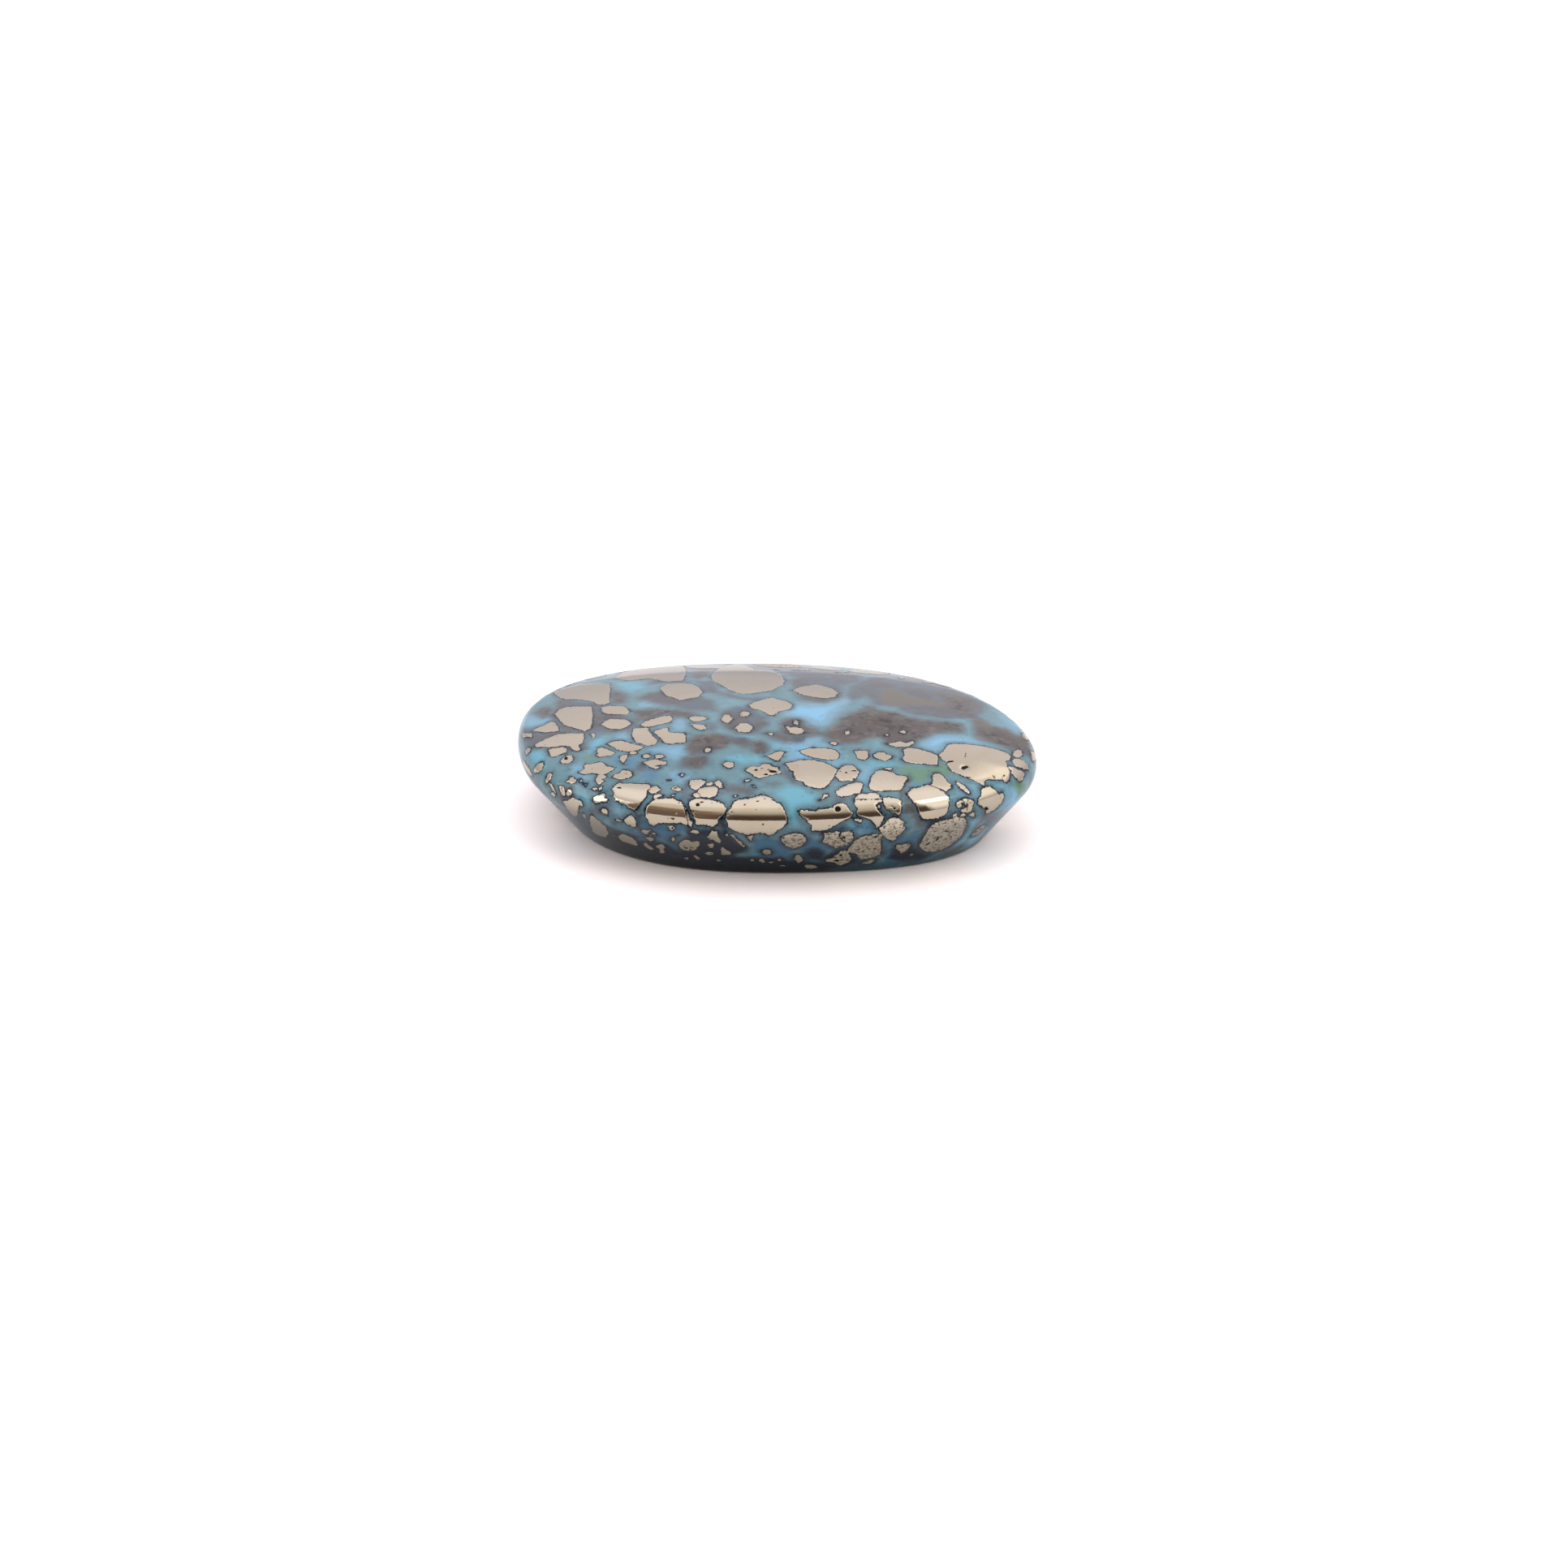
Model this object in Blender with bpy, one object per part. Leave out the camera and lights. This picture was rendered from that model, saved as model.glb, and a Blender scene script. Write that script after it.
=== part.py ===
"""A polished oval cabochon of turquoise with pyrite, built as one solid.

Metres, +Z up. The origin is at the middle of the flat base, the long axis lies along X.
"""

import math

import bmesh
import bpy
from mathutils import Vector

# Driving dimensions, in metres
LENGTH = 0.0380
WIDTH = 0.0274
GIRDLE_HEIGHT = 0.0053
BASE_INSET = 0.0035
BASE_ROUND = 0.0004
UNDERSIDE_RADIUS = 0.0019
SHOULDER_RADIUS = 0.0015

# How far the shoulder turns from upright before the flatter dome takes over
SHOULDER_TURN = math.radians(74)
# Hand cutting leaves the oval a little egg-shaped, a little skewed and full at the corners
EGG = 0.0123
SKEW = -0.0228
FULLNESS = 0.0080

AROUND = 104
BASE_ROUND_RINGS = 3
WALL_RINGS = 3
UNDERSIDE_RINGS = 5
SHOULDER_RINGS = 7
DOME_RINGS = 7

TURQUOISE = (0.10, 0.36, 0.48, 1.0)
ROUGHNESS = 0.18


def clear_scene():
    for obj in list(bpy.data.objects):
        bpy.data.objects.remove(obj, do_unlink=True)


def outline_factor(angle):
    """How far the cut outline lies from a true oval at this angle, as a factor."""
    egg = EGG * math.cos(3 * angle)
    skew = SKEW * math.sin(4 * angle)
    return 1 + egg + skew - FULLNESS * math.cos(4 * angle)


def oval_ring(half_length, half_width, height):
    """Points of one level ring of the stone, before it is centred."""
    ring = []
    for step in range(AROUND):
        angle = 2 * math.pi * step / AROUND
        factor = outline_factor(angle)
        x = half_length * factor * math.cos(angle)
        y = half_width * factor * math.sin(angle)
        ring.append(Vector((x, y, height)))
    return ring


def wall_lean():
    """The angle from upright of the straight lower wall. It runs from the base's edge and
    is tangent to the round under the girdle."""
    overhang = BASE_INSET - UNDERSIDE_RADIUS
    reach = math.hypot(GIRDLE_HEIGHT, overhang)
    return math.atan2(overhang, GIRDLE_HEIGHT) + math.asin(UNDERSIDE_RADIUS / reach)


def base_round_sections(lean):
    """The small rounded edge from the flat base to the wall, as (inset, height) pairs."""
    turn = math.pi / 2 - lean
    centre_inset = BASE_INSET + BASE_ROUND * math.tan(turn / 2)
    sections = []
    for step in range(BASE_ROUND_RINGS + 1):
        angle = turn * step / BASE_ROUND_RINGS
        inset = centre_inset - BASE_ROUND * math.sin(angle)
        sections.append((inset, BASE_ROUND * (1 - math.cos(angle))))
    return sections


def underside_sections(lean):
    """The round from the wall up to the girdle, the stone's widest line."""
    sections = []
    for step in range(UNDERSIDE_RINGS + 1):
        angle = lean * (1 - step / UNDERSIDE_RINGS)
        inset = UNDERSIDE_RADIUS * (1 - math.cos(angle))
        sections.append((inset, GIRDLE_HEIGHT - UNDERSIDE_RADIUS * math.sin(angle)))
    return sections


def wall_sections(low, high):
    """Rings that divide the straight wall between its two rounded ends."""
    sections = []
    for step in range(1, WALL_RINGS):
        share = step / WALL_RINGS
        inset = low[0] + (high[0] - low[0]) * share
        sections.append((inset, low[1] + (high[1] - low[1]) * share))
    return sections


def crown_sections():
    """The shoulder's arc and the flatter dome's arc, which meet in one tangent."""
    shoulder_inset = SHOULDER_RADIUS * (1 - math.cos(SHOULDER_TURN))
    shoulder_height = GIRDLE_HEIGHT + SHOULDER_RADIUS * math.sin(SHOULDER_TURN)
    dome_radius = (WIDTH / 2 - shoulder_inset) / math.cos(SHOULDER_TURN)
    sections = []
    for step in range(1, SHOULDER_RINGS + 1):
        angle = SHOULDER_TURN * step / SHOULDER_RINGS
        inset = SHOULDER_RADIUS * (1 - math.cos(angle))
        sections.append((inset, GIRDLE_HEIGHT + SHOULDER_RADIUS * math.sin(angle)))
    for step in range(1, DOME_RINGS):
        angle = SHOULDER_TURN + (math.pi / 2 - SHOULDER_TURN) * step / DOME_RINGS
        rise = dome_radius * (math.sin(angle) - math.sin(SHOULDER_TURN))
        inset = WIDTH / 2 - dome_radius * math.cos(angle)
        sections.append((inset, shoulder_height + rise))
    return sections


def ring_points():
    """All rings from the base up. The inset is even near the girdle and becomes
    proportional towards the middle of the crown, so that the dome ends in a point."""
    half_length = LENGTH / 2
    half_width = WIDTH / 2
    stretch = half_length / half_width - 1
    lean = wall_lean()
    base_round = base_round_sections(lean)
    underside = underside_sections(lean)
    wall = wall_sections(base_round[-1], underside[0])
    rings = []
    for inset, height in base_round + wall + underside:
        rings.append(oval_ring(half_length - inset, half_width - inset, height))
    for inset, height in crown_sections():
        inset_along = inset * (1 + stretch * inset / half_width)
        rings.append(oval_ring(half_length - inset_along, half_width - inset, height))
    return rings


def centred(rings):
    """The rings moved so that the stone's box has its middle on the Z axis, and scaled
    along X and Y to the driving length and width, which the outline factor changes."""
    xs = [point.x for ring in rings for point in ring]
    ys = [point.y for ring in rings for point in ring]
    middle_x = (min(xs) + max(xs)) / 2
    middle_y = (min(ys) + max(ys)) / 2
    scale_x = LENGTH / (max(xs) - min(xs))
    scale_y = WIDTH / (max(ys) - min(ys))
    moved = []
    for ring in rings:
        placed = []
        for point in ring:
            x = (point.x - middle_x) * scale_x
            y = (point.y - middle_y) * scale_y
            placed.append(Vector((x, y, point.z)))
        moved.append(placed)
    return moved


def bridge(bm, lower, upper):
    """A band of quads between two rings of the same count."""
    edges = []
    for ring in (lower, upper):
        for index in range(AROUND):
            pair = (ring[index], ring[(index + 1) % AROUND])
            edges.append(bm.edges.get(pair) or bm.edges.new(pair))
    bmesh.ops.bridge_loops(bm, edges=edges)


def stone_material():
    material = bpy.data.materials.new("turquoise")
    material.use_nodes = True
    shader = material.node_tree.nodes["Principled BSDF"]
    shader.inputs["Base Color"].default_value = TURQUOISE
    shader.inputs["Roughness"].default_value = ROUGHNESS
    shader.inputs["Metallic"].default_value = 0.0
    return material


def make_cabochon():
    bm = bmesh.new()
    rings = []
    for points in centred(ring_points()):
        rings.append([bm.verts.new(point) for point in points])
    for lower, upper in zip(rings, rings[1:]):
        bridge(bm, lower, upper)
    bm.faces.new(reversed(rings[0]))
    bm.faces.new(rings[-1])
    bmesh.ops.recalc_face_normals(bm, faces=bm.faces)
    mesh = bpy.data.meshes.new("turquoise_cabochon")
    bm.to_mesh(mesh)
    bm.free()
    mesh.shade_smooth()
    mesh.materials.append(stone_material())
    cabochon = bpy.data.objects.new("turquoise_cabochon", mesh)
    bpy.context.scene.collection.objects.link(cabochon)
    return cabochon


def main():
    clear_scene()
    make_cabochon()


main()
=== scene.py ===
import math
import random

import bpy
import numpy as np
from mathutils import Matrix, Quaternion, Vector
from mathutils.bvhtree import BVHTree
from mathutils.kdtree import KDTree


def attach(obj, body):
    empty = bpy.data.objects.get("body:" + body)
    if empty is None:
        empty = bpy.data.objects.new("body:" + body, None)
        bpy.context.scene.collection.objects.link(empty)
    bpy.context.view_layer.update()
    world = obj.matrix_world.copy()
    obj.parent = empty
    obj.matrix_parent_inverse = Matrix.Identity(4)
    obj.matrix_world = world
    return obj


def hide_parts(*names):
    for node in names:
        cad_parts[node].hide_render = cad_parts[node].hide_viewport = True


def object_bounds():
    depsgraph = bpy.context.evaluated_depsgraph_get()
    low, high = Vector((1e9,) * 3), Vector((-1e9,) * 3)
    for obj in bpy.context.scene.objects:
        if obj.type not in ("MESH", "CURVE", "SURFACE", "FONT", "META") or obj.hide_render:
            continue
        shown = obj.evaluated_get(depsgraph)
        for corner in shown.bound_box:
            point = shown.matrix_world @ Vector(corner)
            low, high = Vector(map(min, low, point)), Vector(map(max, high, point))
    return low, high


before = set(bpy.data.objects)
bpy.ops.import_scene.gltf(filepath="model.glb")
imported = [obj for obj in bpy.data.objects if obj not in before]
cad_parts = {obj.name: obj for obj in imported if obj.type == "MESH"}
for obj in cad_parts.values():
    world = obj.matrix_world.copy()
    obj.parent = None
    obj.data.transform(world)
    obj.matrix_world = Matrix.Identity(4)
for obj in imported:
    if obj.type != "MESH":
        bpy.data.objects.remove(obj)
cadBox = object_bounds()

# ---- how the stone was photographed
photoView = {
    "imageSide": 1932,              # pixels
    "azimuth": 12.0,                # degrees, round from the stone's long side
    "elevation": 24.5,
    "distance": 0.2058,             # metres, from the middle of the base
    "focal": 3500.0,                # pixels
    "stonePixel": (954.7, 1002.6),  # where the middle of the base lands
    "roll": 0.99,
}


def cameraBack(view):
    turn, rise = math.radians(view["azimuth"]), math.radians(view["elevation"])
    return Vector((math.sin(turn) * math.cos(rise), -math.cos(turn) * math.cos(rise), math.sin(rise)))


def makeCamera(view):
    lens = bpy.data.cameras.new("photoCamera")
    lens.sensor_width = 36
    lens.lens = 36 * view["focal"] / view["imageSide"]
    lens.clip_start, lens.clip_end = 0.005, 20
    camera = bpy.data.objects.new("photoCamera", lens)
    bpy.context.scene.collection.objects.link(camera)
    back = cameraBack(view)
    middle = view["imageSide"] / 2
    aside = math.atan((middle - view["stonePixel"][0]) / view["focal"])
    above = math.atan((view["stonePixel"][1] - middle) / view["focal"])
    aim = (-back).to_track_quat("-Z", "Y")
    aim = aim @ Quaternion((0, 0, 1), math.radians(-view["roll"]))
    aim = aim @ Quaternion((0, 1, 0), -aside) @ Quaternion((1, 0, 0), above)
    camera.rotation_mode = "QUATERNION"
    camera.rotation_quaternion = aim
    camera.location = back * view["distance"]
    bpy.context.scene.camera = camera
    bpy.context.view_layer.update()
    return camera


camera = makeCamera(photoView)
print("camera placed")


# ---- shader writing: wires take part in ordinary expressions
class Wire:
    def __init__(self, sheet, out):
        self.sheet, self.out = sheet, out

    def __add__(self, other):
        return self.sheet.maths("ADD", self, other)

    def __sub__(self, other):
        return self.sheet.maths("SUBTRACT", self, other)

    def __rsub__(self, other):
        return self.sheet.maths("SUBTRACT", other, self)

    def __mul__(self, other):
        return self.sheet.maths("MULTIPLY", self, other)

    def __truediv__(self, other):
        return self.sheet.maths("DIVIDE", self, other)

    def __pow__(self, other):
        return self.sheet.maths("POWER", self, other)

    __radd__ = __add__
    __rmul__ = __mul__


class NodeSheet:
    def __init__(self, tree):
        self.tree = tree
        tree.nodes.clear()

    def add(self, kind, settings=None, sockets=None, out=0):
        made = self.tree.nodes.new("ShaderNode" + kind)
        for name, value in (settings or {}).items():
            if name == "stops":
                ramp = made.color_ramp
                while len(ramp.elements) < len(value):
                    ramp.elements.new(0.5)
                for element, (place, colour) in zip(ramp.elements, value):
                    element.position, element.color = place, (*colour, 1)
            else:
                setattr(made, name, value)
        for name, value in (sockets or {}).items():
            if isinstance(value, Wire):
                self.tree.links.new(value.out, made.inputs[name])
            elif isinstance(value, tuple) and len(value) == 3 and made.inputs[name].type == "RGBA":
                made.inputs[name].default_value = (*value, 1)
            else:
                made.inputs[name].default_value = value
        return Wire(self, made.outputs[out]) if len(made.outputs) else made

    def maths(self, operation, first, second=0.0):
        return self.add("Math", {"operation": operation}, {0: first, 1: second})

    def most(self, first, second):
        return self.maths("MAXIMUM", first, second)

    def least(self, first, second):
        return self.maths("MINIMUM", first, second)

    def rise(self, value, low, high):  # 0 below low, 1 above high, smooth between
        return self.add("MapRange", {"interpolation_type": "SMOOTHSTEP"},
                        {"Value": value, "From Min": low, "From Max": high})

    def blend(self, first, second, share, way="MIX"):
        return self.add("Mix", {"data_type": "RGBA", "blend_type": way}, {0: share, 6: first, 7: second}, out=2)

    def field(self, name):
        return self.add("Attribute", {"attribute_name": name}, out="Fac")


# the pale floor and the soft light round it; angles in degrees, bearing 0 is straight in front
studio = {
    "floorSide": 6.0,                    # metres
    "floorWhite": (0.835, 0.825, 0.828),
    "floorSeen": (1.30, 1.195, 1.155),
    "brightest": 3.6,
    # elevation and brightness upwards, behind the stone and in front of it, left and middle
    "behind": ((0, 0.70), (8, 0.74), (21, 0.95), (30, 1.09), (40, 1.03), (48, 1.05), (51, 1.21), (54, 1.42),
               (64, 1.52), (90, 1.52)),
    "left": ((0, 0.18), (20, 0.20), (29, 0.27), (38, 0.34), (41, 0.76), (46, 1.02), (57, 1.10), (66, 1.46),
             (90, 1.52)),
    "middle": ((0, 0.085), (18, 0.085), (24, 0.18), (30, 0.42), (35, 0.71), (41, 0.80), (46, 0.95), (51, 1.06),
               (57, 1.12), (62, 1.20), (66, 1.32), (72, 1.48), (90, 1.52)),
    "tints": {"night": (1.32, 1.0, 0.84), "overhead": (0.99, 1.0, 1.10),
              "behind": (1.0, 1.0, 1.10), "left": (1.02, 1.0, 0.95), "middle": (1.02, 1.0, 0.95)},
    "leftToMiddle": (-12, 1),            # bearings
    "front": (-46, -43, 46, 49),
    "lamps": (          # bearing from, to, elevation from, to, their soft edges, brightness
        (46, 108, -1, 64, 3, 24, 1.66),
        (45, 77, 40, 58, 3, 2, 3.4),
        (-90, -50, 3, 40, 2, 4, 2.7),
        (-52, -44, 32.5, 38, 1, 1, 1.9),
        (112, 177, 34, 51, 8, 4, 1.72),
    ),
}


def makeFloor(studio):
    bpy.ops.object.select_all(action="DESELECT")
    bpy.ops.mesh.primitive_plane_add(size=studio["floorSide"], location=(0, 0, 0))
    floor = bpy.context.object
    floor.name = "floor"
    paper = bpy.data.materials.new("paperWhite")
    paper.use_nodes = True
    sheet = NodeSheet(paper.node_tree)
    place = sheet.add("TexCoord", out="Object")
    tooth = sheet.add("TexNoise", None, {"Vector": place, "Scale": 900.0, "Detail": 3.0})
    dull = sheet.blend(studio["floorWhite"], tuple(0.985 * c for c in studio["floorWhite"]), tooth)
    seen = sheet.add("LightPath", out="Is Camera Ray")                  # overexposed, as on a light table
    cover = sheet.add("BsdfDiffuse", None, {"Color": sheet.blend(dull, studio["floorSeen"], seen)})
    sheet.add("OutputMaterial", None, {"Surface": cover})
    floor.data.materials.append(paper)


def makeTent(studio):
    world = bpy.data.worlds.new("lightTent")
    bpy.context.scene.world = world
    world.use_nodes = True
    sheet = NodeSheet(world.node_tree)
    direction = sheet.add("TexCoord", out="Generated")
    east, north, up = (sheet.add("SeparateXYZ", None, {0: direction}, out=axis) for axis in "XYZ")
    elevation = sheet.maths("ARCSINE", up) * (2 / math.pi)              # 1 is overhead
    bearing = sheet.maths("ARCTAN2", east, 0 - north) * (180 / math.pi)
    top = studio["brightest"]

    def ramp(side):
        stops = []
        for place, value in studio[side]:
            kind = "overhead" if value > 1.2 else "night" if value < 0.36 else side
            stops.append((place / 90, tuple(value * tint / top for tint in studio["tints"][kind])))
        return sheet.add("ValToRGB", {"stops": stops}, {"Fac": elevation})

    front = sheet.blend(ramp("left"), ramp("middle"), sheet.rise(bearing, *studio["leftToMiddle"]))
    sides = studio["front"]
    isFront = sheet.rise(bearing, sides[0], sides[1]) * (1 - sheet.rise(bearing, sides[2], sides[3]))
    colour = sheet.blend(ramp("behind"), front, isFront)
    for start, end, bottom, ceiling, aside, above, bright in studio["lamps"]:
        share = sheet.rise(bearing, start, start + aside) * (1 - sheet.rise(bearing, end - aside, end))
        share = share * sheet.rise(elevation, bottom / 90, (bottom + above) / 90)
        share = share * (1 - sheet.rise(elevation, (ceiling - above) / 90, ceiling / 90))
        colour = sheet.blend(colour, (bright / top,) * 3, share)
    seen = sheet.add("LightPath", out="Is Camera Ray")                  # above the floor's far edge all is white
    colour = sheet.blend(colour, (1 / top,) * 3, seen)
    shine = sheet.add("Background", None, {"Color": colour, "Strength": top})
    sheet.add("OutputWorld", None, {"Surface": shine})


makeFloor(studio)
makeTent(studio)
bpy.context.scene.view_settings.view_transform = "Standard"
print("studio made")


# the cut stone, in metres
stoneCut = {
    "length": 0.0380,
    "width": 0.0274,
    "girdle": 0.0053,        # height of the widest line
    "baseInset": 0.0035,     # how far the base lies inside the widest line
    "baseRound": 0.0004,
    "underside": 0.0019,     # radius under the widest line
    "shoulder": 0.0015,      # radius above it
    "shoulderTurn": 74,      # degrees, then the flatter dome
    "egg": 0.0123,           # hand cutting
    "skew": -0.0228,
    "fullness": 0.0080,
    "around": 148,           # points in each ring
    "crowding": 0.34,        # how much closer they stand on the side that the photograph shows
    "wallBands": 5,
    "domeTurns": (74.6, 75.3, 76.1, 77),
    "smoothing": 2,
}


def shoulderMeets(cut):  # inset and height where the dome takes over, and the dome's radius
    turn = math.radians(cut["shoulderTurn"])
    inset = cut["shoulder"] * (1 - math.cos(turn))
    return inset, cut["girdle"] + cut["shoulder"] * math.sin(turn), (cut["width"] / 2 - inset) / math.cos(turn)


def stoneRings(cut):  # half length, half width and height of each ring, from the base up
    halfLength, halfWidth = cut["length"] / 2, cut["width"] / 2
    overhang = cut["baseInset"] - cut["underside"]
    lean = math.atan2(overhang, cut["girdle"]) + math.asin(cut["underside"] / math.hypot(cut["girdle"], overhang))
    turn = math.pi / 2 - lean
    radius = cut["baseRound"]
    centre = cut["baseInset"] + radius * math.tan(turn / 2)
    lower = []
    for step in range(3):
        angle = turn * step / 2
        lower.append((centre - radius * math.sin(angle), radius * (1 - math.cos(angle))))
    radius = cut["underside"]
    upper = []
    for step in range(6):
        angle = lean * (1 - step / 5)
        upper.append((radius * (1 - math.cos(angle)), cut["girdle"] - radius * math.sin(angle)))
    first, last = lower[-1], upper[0]
    for step in range(1, cut["wallBands"]):
        share = step / cut["wallBands"]
        lower.append((first[0] + (last[0] - first[0]) * share, first[1] + (last[1] - first[1]) * share))
    rings = [(halfLength - inset, halfWidth - inset, height) for inset, height in lower + upper]
    crown = []
    for step in range(1, 8):
        angle = math.radians(cut["shoulderTurn"]) * step / 7
        crown.append((cut["shoulder"] * (1 - math.cos(angle)), cut["girdle"] + cut["shoulder"] * math.sin(angle)))
    for degrees in cut["domeTurns"]:
        inset = halfWidth - shoulderMeets(cut)[2] * math.cos(math.radians(degrees))
        crown.append((inset, domeHeight(cut, inset)))
    for inset, height in crown:
        along = inset * (1 + (halfLength / halfWidth - 1) * inset / halfWidth)
        rings.append((halfLength - along, halfWidth - inset, height))
    return rings


def domeHeight(cut, inset):
    joinInset, joinHeight, radius = shoulderMeets(cut)
    across = (cut["width"] / 2 - inset) / radius
    return joinHeight + radius * (math.sqrt(1 - across ** 2) - math.sin(math.radians(cut["shoulderTurn"])))


def crownHeight(cut, x, y):  # the dome's height over a point inside its last ring
    halfLength, halfWidth = cut["length"] / 2, cut["width"] / 2
    low, high = 0.0, halfWidth
    for _ in range(40):
        inset = (low + high) / 2
        along = inset * (1 + (halfLength / halfWidth - 1) * inset / halfWidth)
        if (x / max(halfLength - along, 1e-9)) ** 2 + (y / max(halfWidth - inset, 1e-9)) ** 2 < 1:
            low = inset
        else:
            high = inset
    return domeHeight(cut, low)


def modelStone(cut, box):
    rings = stoneRings(cut)
    around = cut["around"]
    bpy.ops.object.select_all(action="DESELECT")
    bpy.ops.mesh.primitive_circle_add(vertices=around, radius=1, location=(0, 0, 0))
    stone = bpy.context.object
    stone.name = "stone"
    facing = math.radians(photoView["azimuth"] - 90)
    for vertex in stone.data.vertices:
        angle = math.atan2(vertex.co.y, vertex.co.x)
        angle -= cut["crowding"] * math.sin(angle - facing)
        vertex.co = (math.cos(angle), math.sin(angle), 0)
    bpy.ops.object.mode_set(mode="EDIT")
    bpy.ops.mesh.select_mode(type="EDGE")
    bpy.ops.mesh.select_all(action="SELECT")
    length, width, height = rings[0]
    bpy.ops.transform.resize(value=(length, width, 1), center_override=(0, 0, 0))
    for nextLength, nextWidth, nextHeight in rings[1:]:
        bpy.ops.mesh.extrude_edges_move(TRANSFORM_OT_translate={"value": (0, 0, nextHeight - height)})
        bpy.ops.transform.resize(value=(nextLength / length, nextWidth / width, 1),
                                 center_override=(0, 0, nextHeight))
        length, width, height = nextLength, nextWidth, nextHeight
    bpy.ops.mesh.fill_grid(span=around // 4)
    bpy.ops.mesh.select_all(action="DESELECT")
    bpy.ops.object.mode_set(mode="OBJECT")
    firstDome = around * len(rings)
    for edge in stone.data.edges:           # the base's open loop
        edge.select = max(edge.vertices) < around
    for vertex in stone.data.vertices:
        vertex.select = vertex.index < around
    bpy.ops.object.mode_set(mode="EDIT")
    bpy.ops.mesh.fill_grid(span=around // 4)
    bpy.ops.object.mode_set(mode="OBJECT")
    for vertex in stone.data.vertices:      # the grid over the crown follows the dome
        if vertex.index >= firstDome and vertex.co.z > cut["girdle"]:
            vertex.co.z = crownHeight(cut, vertex.co.x, vertex.co.y)
    bpy.ops.object.mode_set(mode="EDIT")
    bpy.ops.mesh.select_all(action="SELECT")
    bpy.ops.mesh.normals_make_consistent(inside=False)
    bpy.ops.object.mode_set(mode="OBJECT")
    smooth = stone.modifiers.new("smooth", "SUBSURF")
    smooth.levels = smooth.render_levels = cut["smoothing"]
    bpy.ops.object.modifier_apply(modifier=smooth.name)
    bpy.ops.object.shade_smooth()
    # the hand-cut outline, then the exact box of the CAD stone
    points = readPoints(stone)
    angle = np.arctan2(points[:, 1] * cut["length"] / cut["width"], points[:, 0])
    factor = 1 + cut["egg"] * np.cos(3 * angle) + cut["skew"] * np.sin(4 * angle)
    factor -= cut["fullness"] * np.cos(4 * angle)
    points[:, 0] *= factor
    points[:, 1] *= factor
    low, high = points.min(0), points.max(0)
    boxLow, boxHigh = np.array(box[0]), np.array(box[1])
    points = boxLow + (points - low) / (high - low) * (boxHigh - boxLow)
    writePoints(stone, points)
    return stone


def readPoints(piece):
    values = np.zeros(len(piece.data.vertices) * 3)
    piece.data.vertices.foreach_get("co", values)
    return values.reshape(-1, 3)


def writePoints(piece, points):
    piece.data.vertices.foreach_set("co", np.ascontiguousarray(points).ravel())
    piece.data.update()


stone = modelStone(stoneCut, cadBox)
print("stone cut,", len(stone.data.polygons), "faces")


# ---- where things lie on the stone: outlines are drawn on the photograph's pixels and cast onto it
class Surface:
    def __init__(self, piece, camera, view):
        self.points = readPoints(piece)
        normals = np.zeros(len(self.points) * 3)
        piece.data.vertices.foreach_get("normal", normals)
        self.normals = normals.reshape(-1, 3)
        self.tree = BVHTree.FromPolygons([Vector(p) for p in self.points],
                                         [tuple(face.vertices) for face in piece.data.polygons])
        self.eye = camera.matrix_world.translation.copy()
        self.aim = camera.matrix_world.to_quaternion()
        self.view = view

    def cast(self, x, y):
        middle, focal = self.view["imageSide"] / 2, self.view["focal"]
        ray = self.aim @ Vector((x + 0.5 - middle, middle - y - 0.5, -focal)).normalized()
        place, normal, _, _ = self.tree.ray_cast(self.eye, ray)
        return (place, normal) if place else None

    def castNear(self, x, y, home):  # a pixel just off the stone moves in towards home until it lands
        for step in range(25):
            share = step / 24
            hit = self.cast(x + (home[0] - x) * share, y + (home[1] - y) * share)
            if hit:
                return hit
        return None

    def castOutline(self, outline):  # a corner's third number carries it on away from the camera, in millimetres
        home = (sum(corner[0] for corner in outline) / len(outline),
                sum(corner[1] for corner in outline) / len(outline))
        away = self.aim @ Vector((0, 0, -1))
        away = Vector((away.x, away.y, 0)).normalized()
        places, facing = [], []
        for x, y, *further in outline:
            hit = self.castNear(x, y, home)
            if hit and further:
                hit = self.tree.find_nearest(hit[0] + away * further[0] * 0.001)
            if hit:
                places.append(hit[0])
                facing.append(hit[1])
        return places, facing

    def flatten(self, corners, facing):  # a flat view of the corners and of the surface near them
        centre = np.mean([tuple(c) for c in corners], axis=0)
        up = np.mean([tuple(n) for n in facing], axis=0)
        up = up / np.linalg.norm(up)
        side = np.cross(up, (0.3, 0.5, 0.81))
        side = side / np.linalg.norm(side)
        axes = np.array([side, np.cross(up, side)])
        flat = (np.array([tuple(c) for c in corners]) - centre) @ axes.T
        reach = np.sqrt((flat ** 2).sum(1)).max() + fieldReach
        offset = self.points - centre
        near = np.nonzero((np.abs(offset @ axes[0]) < reach) & (np.abs(offset @ axes[1]) < reach)
                          & (np.abs(offset @ up) < 0.005) & (self.normals @ up > 0.05))[0]
        return flat, near, offset[near] @ axes.T


fieldReach = 0.0012    # how far outside an outline its distance is still followed, in metres


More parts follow.
